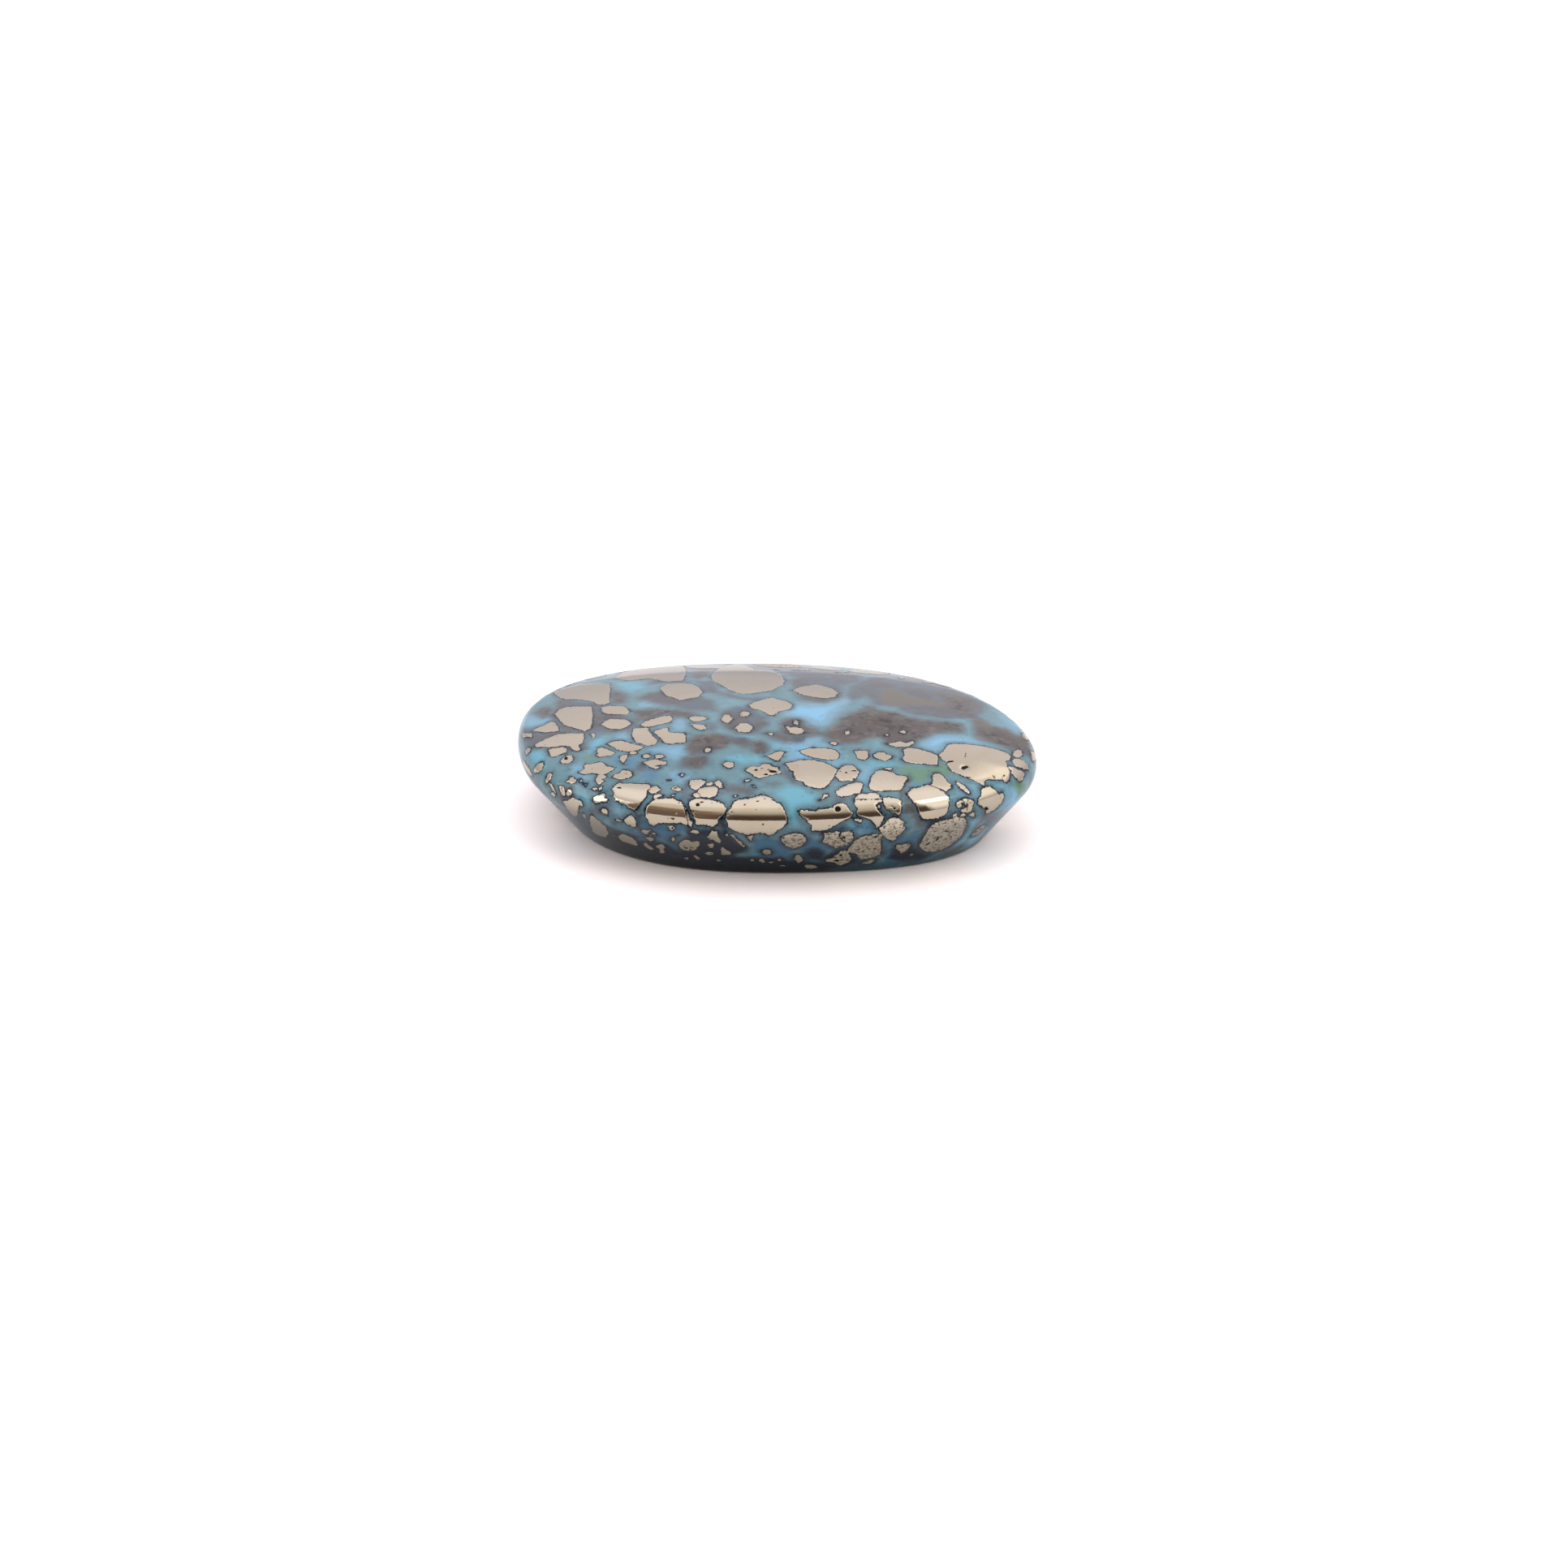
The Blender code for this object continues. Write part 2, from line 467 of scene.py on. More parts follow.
def outlineDistance(points, corners):  # distance to a closed outline, positive inside
    best = np.full(len(points), 1e9)
    inside = np.zeros(len(points), bool)
    for first, second in zip(corners, np.roll(corners, -1, axis=0)):
        edge = second - first
        along = np.clip(((points - first) @ edge) / max(edge @ edge, 1e-18), 0, 1)
        best = np.minimum(best, ((points - first - along[:, None] * edge) ** 2).sum(1))
        crosses = (first[1] > points[:, 1]) != (second[1] > points[:, 1])
        with np.errstate(divide="ignore", invalid="ignore"):
            at = first[0] + (points[:, 1] - first[1]) * edge[0] / edge[1]
        inside ^= crosses & (points[:, 0] < at)
    return np.sqrt(best) * np.where(inside, 1, -1)


def drawOutline(surface, target, corners, facing):
    flat, near, points = surface.flatten(corners, facing)
    if len(flat) > 2 and len(near):
        target[near] = np.maximum(target[near], outlineDistance(points, flat) * 1000)


surface = Surface(stone, camera, photoView)


# pyrite plates, as outlines on the photograph's pixels
pyriteOutlines = {
    "rearLeft": [
        [(682, 853), (690, 849), (700, 846), (712, 843), (725, 842), (740, 841), (750, 842), (751, 850),
         (750, 866), (742, 868), (735, 867), (730, 864), (712, 861), (696, 861), (688, 858)],
        [(683, 879), (688, 874), (695, 871), (705, 870), (728, 870), (730, 880), (729, 890), (727, 897),
         (720, 900), (712, 898), (703, 895), (695, 893), (690, 888)],
        [(740, 871), (750, 869), (770, 870), (776, 876), (772, 880), (748, 879), (742, 877)],
        [(740, 892), (745, 888), (752, 885), (770, 886), (778, 891), (772, 895), (762, 898), (750, 897)],
        [(655, 900), (662, 896), (670, 893), (677, 889), (682, 889), (688, 897), (688, 900), (670, 902)],
        [(658, 917), (672, 910), (686, 904), (705, 903), (718, 903), (719, 908), (718, 914), (712, 918),
         (715, 924), (710, 925), (705, 923), (702, 919), (694, 918), (680, 920), (660, 920)],
        [(675, 923), (684, 921), (692, 920), (698, 922), (697, 926), (690, 929), (683, 932), (678, 931)],
        [(727, 903), (731, 903), (733, 907), (730, 909)],
        [(690, 938), (693, 934), (697, 930), (703, 930), (706, 934), (704, 938), (699, 940), (693, 940)],
        [(736, 922), (741, 920), (748, 923), (757, 927), (752, 930), (738, 932), (735, 930)],
        [(643, 904), (655, 904), (655, 908), (644, 908)],
        [(647, 925), (650, 921), (654, 922), (652, 926), (648, 930)],
        [(748, 916), (754, 913), (764, 912), (782, 917), (792, 920), (788, 923), (778, 925), (768, 925),
         (758, 922)],
    ],
    "rearMiddle": [
        [(757, 835), (765, 829.5), (783, 824.5, 0.5), (806, 821, 1.2), (826, 819.5, 1.5), (840, 819.5, 1),
         (845, 826), (841, 838), (820, 839), (800, 835), (775, 838)],
        [(812, 847), (820, 843), (835, 841), (850, 842), (860, 846), (865, 852), (860, 858), (838, 862),
         (820, 856)],
        [(788, 893), (795, 888), (815, 882), (825, 881), (829, 885), (825, 889), (805, 894), (795, 895)],
        [(780, 897), (797, 896), (803, 906), (809, 911), (809, 914), (805, 917), (798, 918), (783, 914),
         (778, 904)],
        [(806, 900), (812, 898), (822, 896), (823, 902), (844, 903), (844, 914), (826, 916), (818, 915),
         (814, 909), (806, 903)],
        [(847, 884), (855, 882), (866, 882), (872, 885), (862, 888), (853, 888)],
        [(850, 891), (868, 893), (870, 897), (866, 899), (858, 898)],
        [(868, 922), (873, 920), (876, 923), (873, 926), (868, 926)],
        [(775, 926), (783, 925), (784, 928), (776, 929)],
        [(791, 930), (797, 928), (801, 931), (798, 934), (792, 933)],
        [(807, 930), (815, 929), (818, 932), (812, 934), (807, 933)],
        [(763, 932), (769, 929), (773, 930), (768, 941), (764, 937)],
        [(876, 833), (882, 825), (892, 821.5, 0.7), (906, 820, 1.6), (918, 821, 0.9), (930, 824.5), (950, 826),
         (961, 830), (966, 838), (964, 843), (950, 850), (925, 854), (912, 854), (902, 851), (893, 846),
         (878, 838)],
        [(922, 868), (930, 864), (950, 859), (970, 864), (976, 868), (973, 873), (958, 876), (953, 881),
         (946, 880), (942, 876), (926, 872)],
        [(976, 850), (985, 846), (1005, 843), (1025, 848), (1032, 853), (1028, 858), (1015, 860), (990, 856)],
        [(888, 885), (892, 880), (898, 880), (902, 885), (898, 890), (891, 889)],
        [(911, 879), (915, 876), (921, 876), (923, 880), (918, 883), (913, 882)],
        [(905, 896), (911, 891), (920, 890), (927, 894), (926, 898), (920, 902), (909, 901)],
        [(966, 893), (975, 896), (984, 895), (990, 899), (988, 903), (980, 904), (973, 902)],
        [(978, 888), (983, 887), (984, 892), (979, 893)],
        [(946, 903), (951, 902), (952, 905), (948, 906)],
        [(942, 931), (950, 929), (955, 926), (961, 925), (967, 926), (962, 932), (957, 937), (947, 932)],
        [(985, 925), (992, 922), (1005, 921), (1022, 922), (1030, 924), (1033, 930), (1033, 933), (1025, 936),
         (1003, 933), (988, 928)],
        [(890, 941), (894, 938), (903, 939), (903, 944), (898, 946), (892, 943)],
    ],
    "rearRight": [
        [(1052, 925), (1058, 924), (1069, 924), (1069, 933), (1063, 936), (1057, 934)],
        [(1076, 930), (1080, 927), (1087, 926), (1098, 931), (1097, 934), (1090, 937), (1078, 933)],
        [(1113, 923), (1120, 921), (1130, 922), (1150, 928), (1155, 931), (1154, 942), (1148, 941),
         (1128, 940), (1116, 938), (1112, 935), (1114, 930)],
        [(1092, 916), (1108, 913), (1116, 915), (1124, 912), (1126, 915), (1118, 919), (1105, 920)],
        [(1022, 914), (1028, 913), (1032, 916), (1026, 918)],
        [(1108, 901), (1112, 899), (1117, 901), (1113, 904)],
        [(1040, 901), (1045, 899), (1047, 903), (1042, 905)],
        [(1090, 904), (1094, 903), (1095, 906), (1091, 906)],
        [(1156, 929), (1162, 925), (1167, 918), (1172, 916), (1188, 916), (1212, 919), (1232, 924),
         (1240, 927), (1245, 931), (1244, 935), (1238, 937), (1241, 944), (1244, 951), (1242, 960),
         (1239, 963), (1234, 959), (1227, 960), (1223, 960), (1218, 959), (1213, 960), (1211, 967),
         (1204, 963), (1195, 959), (1187, 956), (1181, 953), (1173, 950), (1166, 941), (1170, 938),
         (1165, 938), (1160, 935)],
        [(1147, 966), (1149, 961), (1148, 956), (1151, 953), (1154, 952), (1161, 955), (1167, 963),
         (1171, 966), (1172, 970), (1165, 974), (1158, 971), (1149, 968)],
        [(1176, 962), (1180, 963), (1185, 966), (1190, 971), (1194, 975), (1194, 978), (1190, 976),
         (1185, 972), (1180, 968)],
        [(1247, 931), (1249, 925), (1253, 923), (1258, 924), (1259, 930), (1254, 932.5)],
        [(1247, 936), (1250, 934), (1256, 934.5), (1263, 938.5), (1266, 942), (1267, 948), (1261, 947),
         (1253, 944), (1248, 941.5)],
        [(1241, 944), (1245, 943.5), (1252, 946.5), (1259, 950), (1262, 953), (1260, 958.5), (1256, 962.5),
         (1251, 958), (1246, 952)],
        [(1269, 926), (1275, 926), (1276.5, 935), (1272, 938)],
        [(1259, 902), (1264, 905), (1268, 911), (1264, 911), (1259, 907)],
    ],
    "crownFront": [
        [(712, 951), (716, 949), (720, 947), (719, 943), (722, 941), (728, 941), (738, 938), (742, 939),
         (746, 943), (752, 945), (757, 945), (755, 948), (745, 953), (740, 954), (730, 951.5), (719, 953.5)],
        [(792, 939), (800, 936), (807, 935), (815, 937), (821, 938), (820, 941), (812, 942), (808, 943),
         (812, 945), (808, 946.5), (802, 945), (798, 942)],
        [(697, 963), (701, 960), (701.5, 957), (706, 957), (707, 960), (711, 960), (708, 963), (705, 965),
         (702, 964)],
        [(713, 962), (715, 959), (717, 960), (716, 963)],
        [(718, 965), (721, 966), (723, 965), (721, 967.5)],
        [(734, 958), (737, 954), (742, 954), (745, 954.5), (747, 957), (744, 958.5), (739, 959.5),
         (744, 961.5), (741, 963), (740, 966), (737, 966), (733.5, 961)],
        [(754, 957), (757, 953), (762, 952.5), (766, 949), (771, 948), (776, 950), (779, 955), (776, 957),
         (768, 959), (762, 960), (757, 958)],
        [(753, 972), (756, 969), (760, 966), (763, 963), (766, 965), (775, 965), (799, 966), (801, 968),
         (800, 971), (796, 974), (796, 980), (793, 984), (785, 994), (780, 998), (775, 994), (770, 990),
         (764, 987.5), (758, 985), (755, 981), (757, 976)],
        [(728, 972), (731, 970), (734, 970), (736, 972), (733, 973)],
        [(736.5, 971), (739, 969), (742, 968), (741, 972), (739, 974)],
        [(730, 983), (733, 980.5), (744, 977), (745, 979), (744, 983), (747, 983), (749, 985), (748, 987),
         (741, 987.5), (733, 989), (731, 987)],
        [(739.5, 999), (742, 996), (745, 996), (748, 999), (747.5, 1003), (744, 1002)],
        [(799, 973), (801, 971), (804, 968), (809, 967.5), (814, 973), (810, 974), (809, 977), (804, 977.5),
         (800, 976)],
        [(805, 980), (808, 978), (812, 978), (817, 979.5), (815, 981), (805, 984)],
        [(821, 960), (824, 961), (827, 960), (825, 962)],
        [(827, 971), (829, 969), (833, 968), (836, 970), (839, 972), (836, 974), (831, 973)],
        [(826, 981), (828, 979), (831, 978), (830, 980), (828, 981.5)],
        [(838, 954), (840, 953), (842, 954), (840, 955)],
        [(849, 966), (850, 962), (855, 960), (865, 960), (869, 962), (867, 965), (862, 969), (858, 973),
         (854, 972), (850, 970)],
        [(861, 971.5), (868, 969.5), (875, 968.5), (882, 969), (884, 972), (883, 977), (880, 981), (875, 982),
         (867, 981.5), (863, 981), (861, 977.5), (858.5, 975)],
        [(853, 979), (857, 975.5), (860, 978), (862.5, 982), (857, 982), (854, 981)],
        [(868, 967), (872, 963.5), (877, 963), (878, 966), (874, 967.5)],
        [(880, 963), (884, 961), (888, 962), (890, 969), (886, 970), (882, 967)],
        [(918, 948), (921, 946), (926, 944), (935, 944), (938, 941), (948, 941), (950, 944), (958, 945),
         (959, 949), (963, 950), (961, 952), (948, 954), (943, 956), (936, 958), (931, 957), (926, 953)],
        [(916, 962), (920, 960), (924, 960), (922, 962), (918, 963)],
        [(927, 967), (929, 967), (931, 970), (928, 969)],
        [(903.5, 980), (906, 979), (908, 980), (905, 982)],
        [(968, 940), (975, 939), (985, 936), (1000, 936), (1012, 938), (1018, 940), (1026, 944), (1031, 948),
         (1028, 955), (1023, 962), (1018, 968), (1015, 970), (1008, 970.5), (1000, 969), (992, 967),
         (990, 963), (980, 960), (978, 955), (977, 950), (974, 949)],
        [(1030, 953), (1032, 949), (1036, 945), (1040, 943), (1050, 942), (1054, 946), (1058, 950),
         (1057, 953), (1053, 960), (1049, 962), (1044, 961), (1039, 962), (1034, 961), (1029, 956)],
        [(1029, 976), (1033, 972), (1038, 969), (1044, 966), (1056, 963), (1061, 964), (1063, 967),
         (1059, 977), (1053, 977), (1048, 979), (1043, 980.5), (1036, 981), (1031, 979)],
        [(1070, 966), (1072, 962), (1073, 957), (1079, 950), (1084, 948), (1090, 949), (1099, 951),
         (1106, 955), (1113, 955), (1117, 957), (1117, 961), (1114, 963), (1110, 972), (1105, 973.5),
         (1083, 974), (1077, 974), (1072, 972)],
        [(1088, 947), (1094, 945), (1099, 946), (1096, 948)],
        [(1010, 985), (1014, 981), (1014, 978), (1019, 978), (1020, 980), (1015, 983)],
    ],
    "shoulder": [
        [(796, 995), (798, 991), (806, 985), (812, 983), (828, 983), (833, 986), (838, 987), (841, 991),
         (843, 997), (845, 1004), (847, 1012), (846, 1016), (838, 1013.5), (813, 1013.5), (805, 1016.5),
         (801, 1015), (795, 1005)],
        [(843, 993), (845, 996), (848, 1003), (850, 1010), (853, 1011), (853, 1015), (851, 1019), (849, 1018),
         (847.5, 1011), (845.5, 1003)],
        [(848, 990), (850, 986), (855, 984), (862, 983), (870, 984), (886, 988), (891, 991), (894, 996),
         (893, 1000), (885, 1008), (884, 1012), (882, 1016), (877, 1018), (866, 1015), (860, 1016),
         (856, 1014), (857, 1010), (852, 1000)],
        [(894, 1003), (896, 999), (900, 996), (904, 987), (910, 985), (926, 983), (937, 979.5), (944, 981),
         (949, 983), (954, 987), (960, 990), (964, 995), (967, 1000), (969, 1006), (969, 1013), (963, 1020),
         (958, 1022), (955, 1025), (947, 1028.5), (943, 1026), (932, 1026), (920, 1028), (906, 1023.5),
         (900, 1021), (897, 1017), (894, 1008)],
        [(983, 999), (988, 998), (1004, 999), (1010, 997), (1026, 995), (1028, 992), (1036, 989), (1041, 991),
         (1049, 1001), (1048, 1006), (1034, 1013), (1025, 1019), (1014, 1023), (1000, 1023), (1000, 1017),
         (994, 1011), (996, 1009), (990, 1007)],
        [(1052, 984), (1058, 978), (1064, 977), (1068, 978.5), (1070, 976), (1077, 976), (1083, 979),
         (1085, 983.7)],
        [(1053, 985.2), (1085.5, 984.6), (1087, 986), (1083, 988), (1078, 991), (1080, 997), (1083, 1000),
         (1087, 1004), (1088, 1009), (1086, 1014), (1080, 1020), (1077, 1014), (1073, 1010), (1067, 1007),
         (1056, 1004), (1055, 999), (1057, 997), (1053, 989)],
        [(1052, 1009), (1056, 1008), (1061, 1009), (1061, 1012), (1058, 1013)],
        [(1080.5, 993), (1082, 991.5), (1084, 994), (1082, 996)],
        [(1087, 985), (1089, 983), (1094, 981), (1099, 983), (1106, 983.5), (1110, 987), (1110, 999),
         (1107, 1004), (1103, 1001), (1093, 997), (1090, 993)],
        [(1117, 979), (1121, 974), (1124, 971), (1130, 970), (1142, 966.5), (1148, 968), (1166, 978),
         (1169, 981), (1169, 987), (1167, 999), (1163, 1004), (1152, 1009), (1147, 1008), (1140, 1008.5),
         (1136, 1007), (1133, 1002), (1131, 996), (1128, 990), (1123, 985)],
        [(1205, 983), (1208, 981), (1209, 977), (1209, 971), (1214, 969), (1221, 969), (1227, 974),
         (1230, 979), (1234, 976), (1237, 980), (1233, 989), (1229, 994), (1219, 1001), (1215, 1002),
         (1213, 997), (1208, 992), (1205, 989)],
        [(1177, 990), (1180, 987), (1183, 989), (1185, 992), (1183, 995), (1180, 995)],
        [(1182, 986.5), (1184.5, 985), (1186.5, 988.5), (1187, 991), (1184.5, 989)],
        [(1185.5, 984.5), (1189, 983.5), (1191.5, 984), (1191, 988), (1189.5, 992), (1188, 989)],
        [(1193, 984), (1197, 986), (1199, 989), (1198, 994), (1196, 999), (1192, 1000), (1191, 995), (1192, 988)],
        [(1182, 999), (1186, 996), (1189.5, 994.5), (1190.5, 1000), (1187, 1000.5)],
        [(1183, 1001.5), (1189, 1003), (1189, 1004), (1183, 1006)],
        [(1193, 1004), (1197, 1001), (1200, 1000), (1200, 1007), (1196, 1005)],
    ],
    "wallLeft": [
        [(664, 940), (668, 938.5), (669.5, 942), (667, 947), (662, 952), (658, 951), (657, 948)],
        [(675, 953), (677.5, 951.5), (679.5, 955), (677, 960), (674, 965), (671.5, 964)],
        [(675, 964), (679, 966), (682, 970), (684, 976), (681, 974)],
        [(680, 975), (684, 978), (685, 981), (683, 982), (678, 978)],
        [(688, 969), (691, 967.5), (693.5, 970), (695, 974), (696, 979), (694, 981), (691, 977)],
        [(698, 975), (700, 972), (703, 973), (704, 978), (701, 980), (697, 979)],
        [(693, 986.5), (699, 986.5), (705, 981.5), (709, 985), (714, 985.5), (717, 989), (716, 992),
         (713, 991), (712, 998), (711, 1003), (709, 1006), (704, 1003), (697, 993)],
        [(717, 1003), (719, 1002), (721, 1006), (723, 1009), (720, 1008)],
        [(727, 1005), (729, 1003.5), (733, 1008), (738, 1011), (741, 1015), (745, 1017), (747, 1020),
         (748.5, 1027), (746, 1031), (740, 1030), (733, 1027), (729, 1023), (726.5, 1012)],
        [(753.5, 1027), (756, 1028), (758, 1030), (755, 1029)],
        [(761, 1031), (766, 1027), (772, 1029), (778, 1032), (782, 1034), (785, 1042), (781, 1041), (766, 1036)],
        [(758, 1010), (761, 1009), (764, 1010), (766, 1012), (762, 1012)],
        [(768, 1011), (774, 1005), (778, 1003), (779, 1006), (782, 1009), (784, 1017), (781, 1019), (773, 1016)],
        [(789, 1023), (792, 1022), (797, 1023), (801, 1022), (799, 1025), (797, 1028), (793, 1027)],
        [(802, 1026), (805, 1025), (809, 1028), (805, 1029)],
        [(794, 1032), (800, 1031), (805, 1031), (804, 1035), (801, 1037), (798, 1034)],
        [(823, 1018), (827, 1017), (831, 1018), (831, 1021), (828, 1023), (825, 1022)],
        [(850, 1025), (854, 1022), (859, 1023), (861, 1026), (858, 1027)],
        [(826, 1033), (828, 1031), (831, 1032), (831, 1035), (828, 1037)],
        [(831, 1030), (836, 1028), (837, 1029), (832, 1031)],
        [(792, 1040), (795, 1038), (799, 1041), (805, 1046), (801, 1047), (797, 1044)],
        [(805, 1043), (810, 1041), (816, 1040), (819, 1043), (817, 1046), (819, 1050), (814, 1051), (812, 1045)],
        [(835, 1040), (839, 1037), (843, 1034), (847, 1035), (852, 1037), (857, 1036), (862, 1037),
         (862, 1041), (856, 1047), (850, 1048), (843, 1047), (838, 1045)],
        [(841, 1057), (846, 1056), (849, 1058), (845, 1058.5)],
        [(854, 1053), (858, 1054), (864, 1058), (859, 1060)],
        [(659, 966), (664, 971), (671, 980), (680, 989), (690, 996), (688, 1000), (678, 994), (668, 984),
         (660, 973)],
        [(643, 935), (647, 940), (652, 948), (656, 956), (652, 954), (645, 944)],
    ],
    "wallMiddle": [
        [(871, 1031), (874, 1028), (876, 1023), (883, 1024), (883, 1029), (889, 1037), (887, 1039),
         (882, 1037), (878, 1034), (872, 1034)],
        [(870, 1041), (874, 1040), (878, 1039), (879, 1043), (876, 1045)],
        [(868, 1051), (873, 1049), (878, 1050), (879, 1053), (872, 1053)],
        [(881, 1059), (885, 1058), (889, 1060), (885, 1061)],
        [(892, 1026), (894, 1024), (895, 1027), (898, 1029), (893, 1030)],
        [(899, 1028), (903, 1029), (907, 1033), (912, 1036), (918, 1044), (915, 1044), (910, 1039), (902, 1031)],
        [(919, 1030), (924, 1030), (927, 1029), (926, 1033), (924, 1036), (922, 1033)],
        [(938, 1049), (940, 1047), (944, 1046), (948, 1047), (950, 1050), (948, 1052), (942, 1052)],
        [(887, 1045), (890, 1043), (893, 1046), (901, 1050), (900, 1053), (888, 1053), (889, 1049)],
        [(978, 1057), (980, 1053), (984, 1053), (990, 1059), (983, 1063)],
        [(957, 1060), (960, 1057), (963, 1059), (960, 1061)],
        [(923, 1058.5), (927, 1058), (929, 1060), (925, 1061)],
        [(933, 1059), (938, 1058), (943, 1063), (938, 1062)],
        [(946, 1062), (950, 1060), (954, 1061), (950, 1064)],
        [(989, 1066), (995, 1065), (1002, 1065), (1007, 1069), (1000, 1070), (993, 1069)],
        [(960, 1066), (966, 1065.5), (971, 1067), (965, 1067.5)],
    ],
    "gritty": [
        [(962, 1031), (965, 1029), (976, 1026.5), (983, 1026.5), (988, 1028), (991, 1031), (993, 1035),
         (990, 1039), (982, 1044), (976, 1045), (967, 1041), (963, 1037)],
        [(1012, 1037), (1015, 1033), (1016, 1029), (1013, 1026), (1034, 1025), (1033, 1030), (1038, 1036),
         (1045, 1040), (1030, 1044), (1024, 1042), (1019, 1039)],
        [(1036, 1026), (1048, 1023), (1050, 1027), (1051, 1033), (1048, 1036), (1043, 1038), (1038, 1035),
         (1035, 1031)],
        [(1043, 1048), (1046, 1044), (1052, 1036), (1056, 1033), (1067, 1029), (1073, 1029), (1075, 1027),
         (1087, 1028), (1084, 1034), (1085, 1045), (1085, 1051), (1080, 1054), (1066, 1058), (1060, 1058),
         (1056, 1055), (1054, 1051), (1046, 1050)],
        [(1083, 1021), (1087, 1018), (1091, 1013), (1096, 1008), (1101, 1006), (1107, 1008), (1114, 1014),
         (1113, 1018), (1115, 1020), (1107, 1029), (1100, 1036), (1090, 1031), (1087, 1027)],
        [(1016, 1060), (1018, 1057), (1026, 1058), (1026, 1055), (1034, 1051), (1036, 1048), (1040, 1047),
         (1044, 1049), (1048, 1057), (1048, 1061), (1040, 1064), (1035, 1066), (1026, 1062), (1020, 1062)],
        [(1060, 1063), (1066, 1061), (1074, 1059), (1079, 1058), (1076, 1061), (1070, 1064)],
        [(1101, 1046), (1105, 1044), (1103, 1041), (1108, 1041), (1119, 1038), (1122, 1041), (1117, 1048),
         (1110, 1051), (1107, 1047)],
        [(1119, 1055), (1123, 1051), (1126, 1049), (1124, 1053)],
        [(1132, 1042), (1138, 1031), (1144, 1021), (1147, 1017), (1153, 1013), (1168, 1009), (1174, 1008),
         (1173, 1005), (1177, 1001), (1179, 1003), (1180, 1008), (1185, 1007), (1189, 1010), (1191, 1014),
         (1186, 1026), (1182, 1032), (1170, 1041), (1163, 1045), (1155, 1048), (1147, 1049), (1140, 1048),
         (1135, 1046)],
        [(1196, 1030), (1199, 1026), (1208, 1018), (1213, 1015), (1214, 1018), (1204, 1028)],
    ],
}
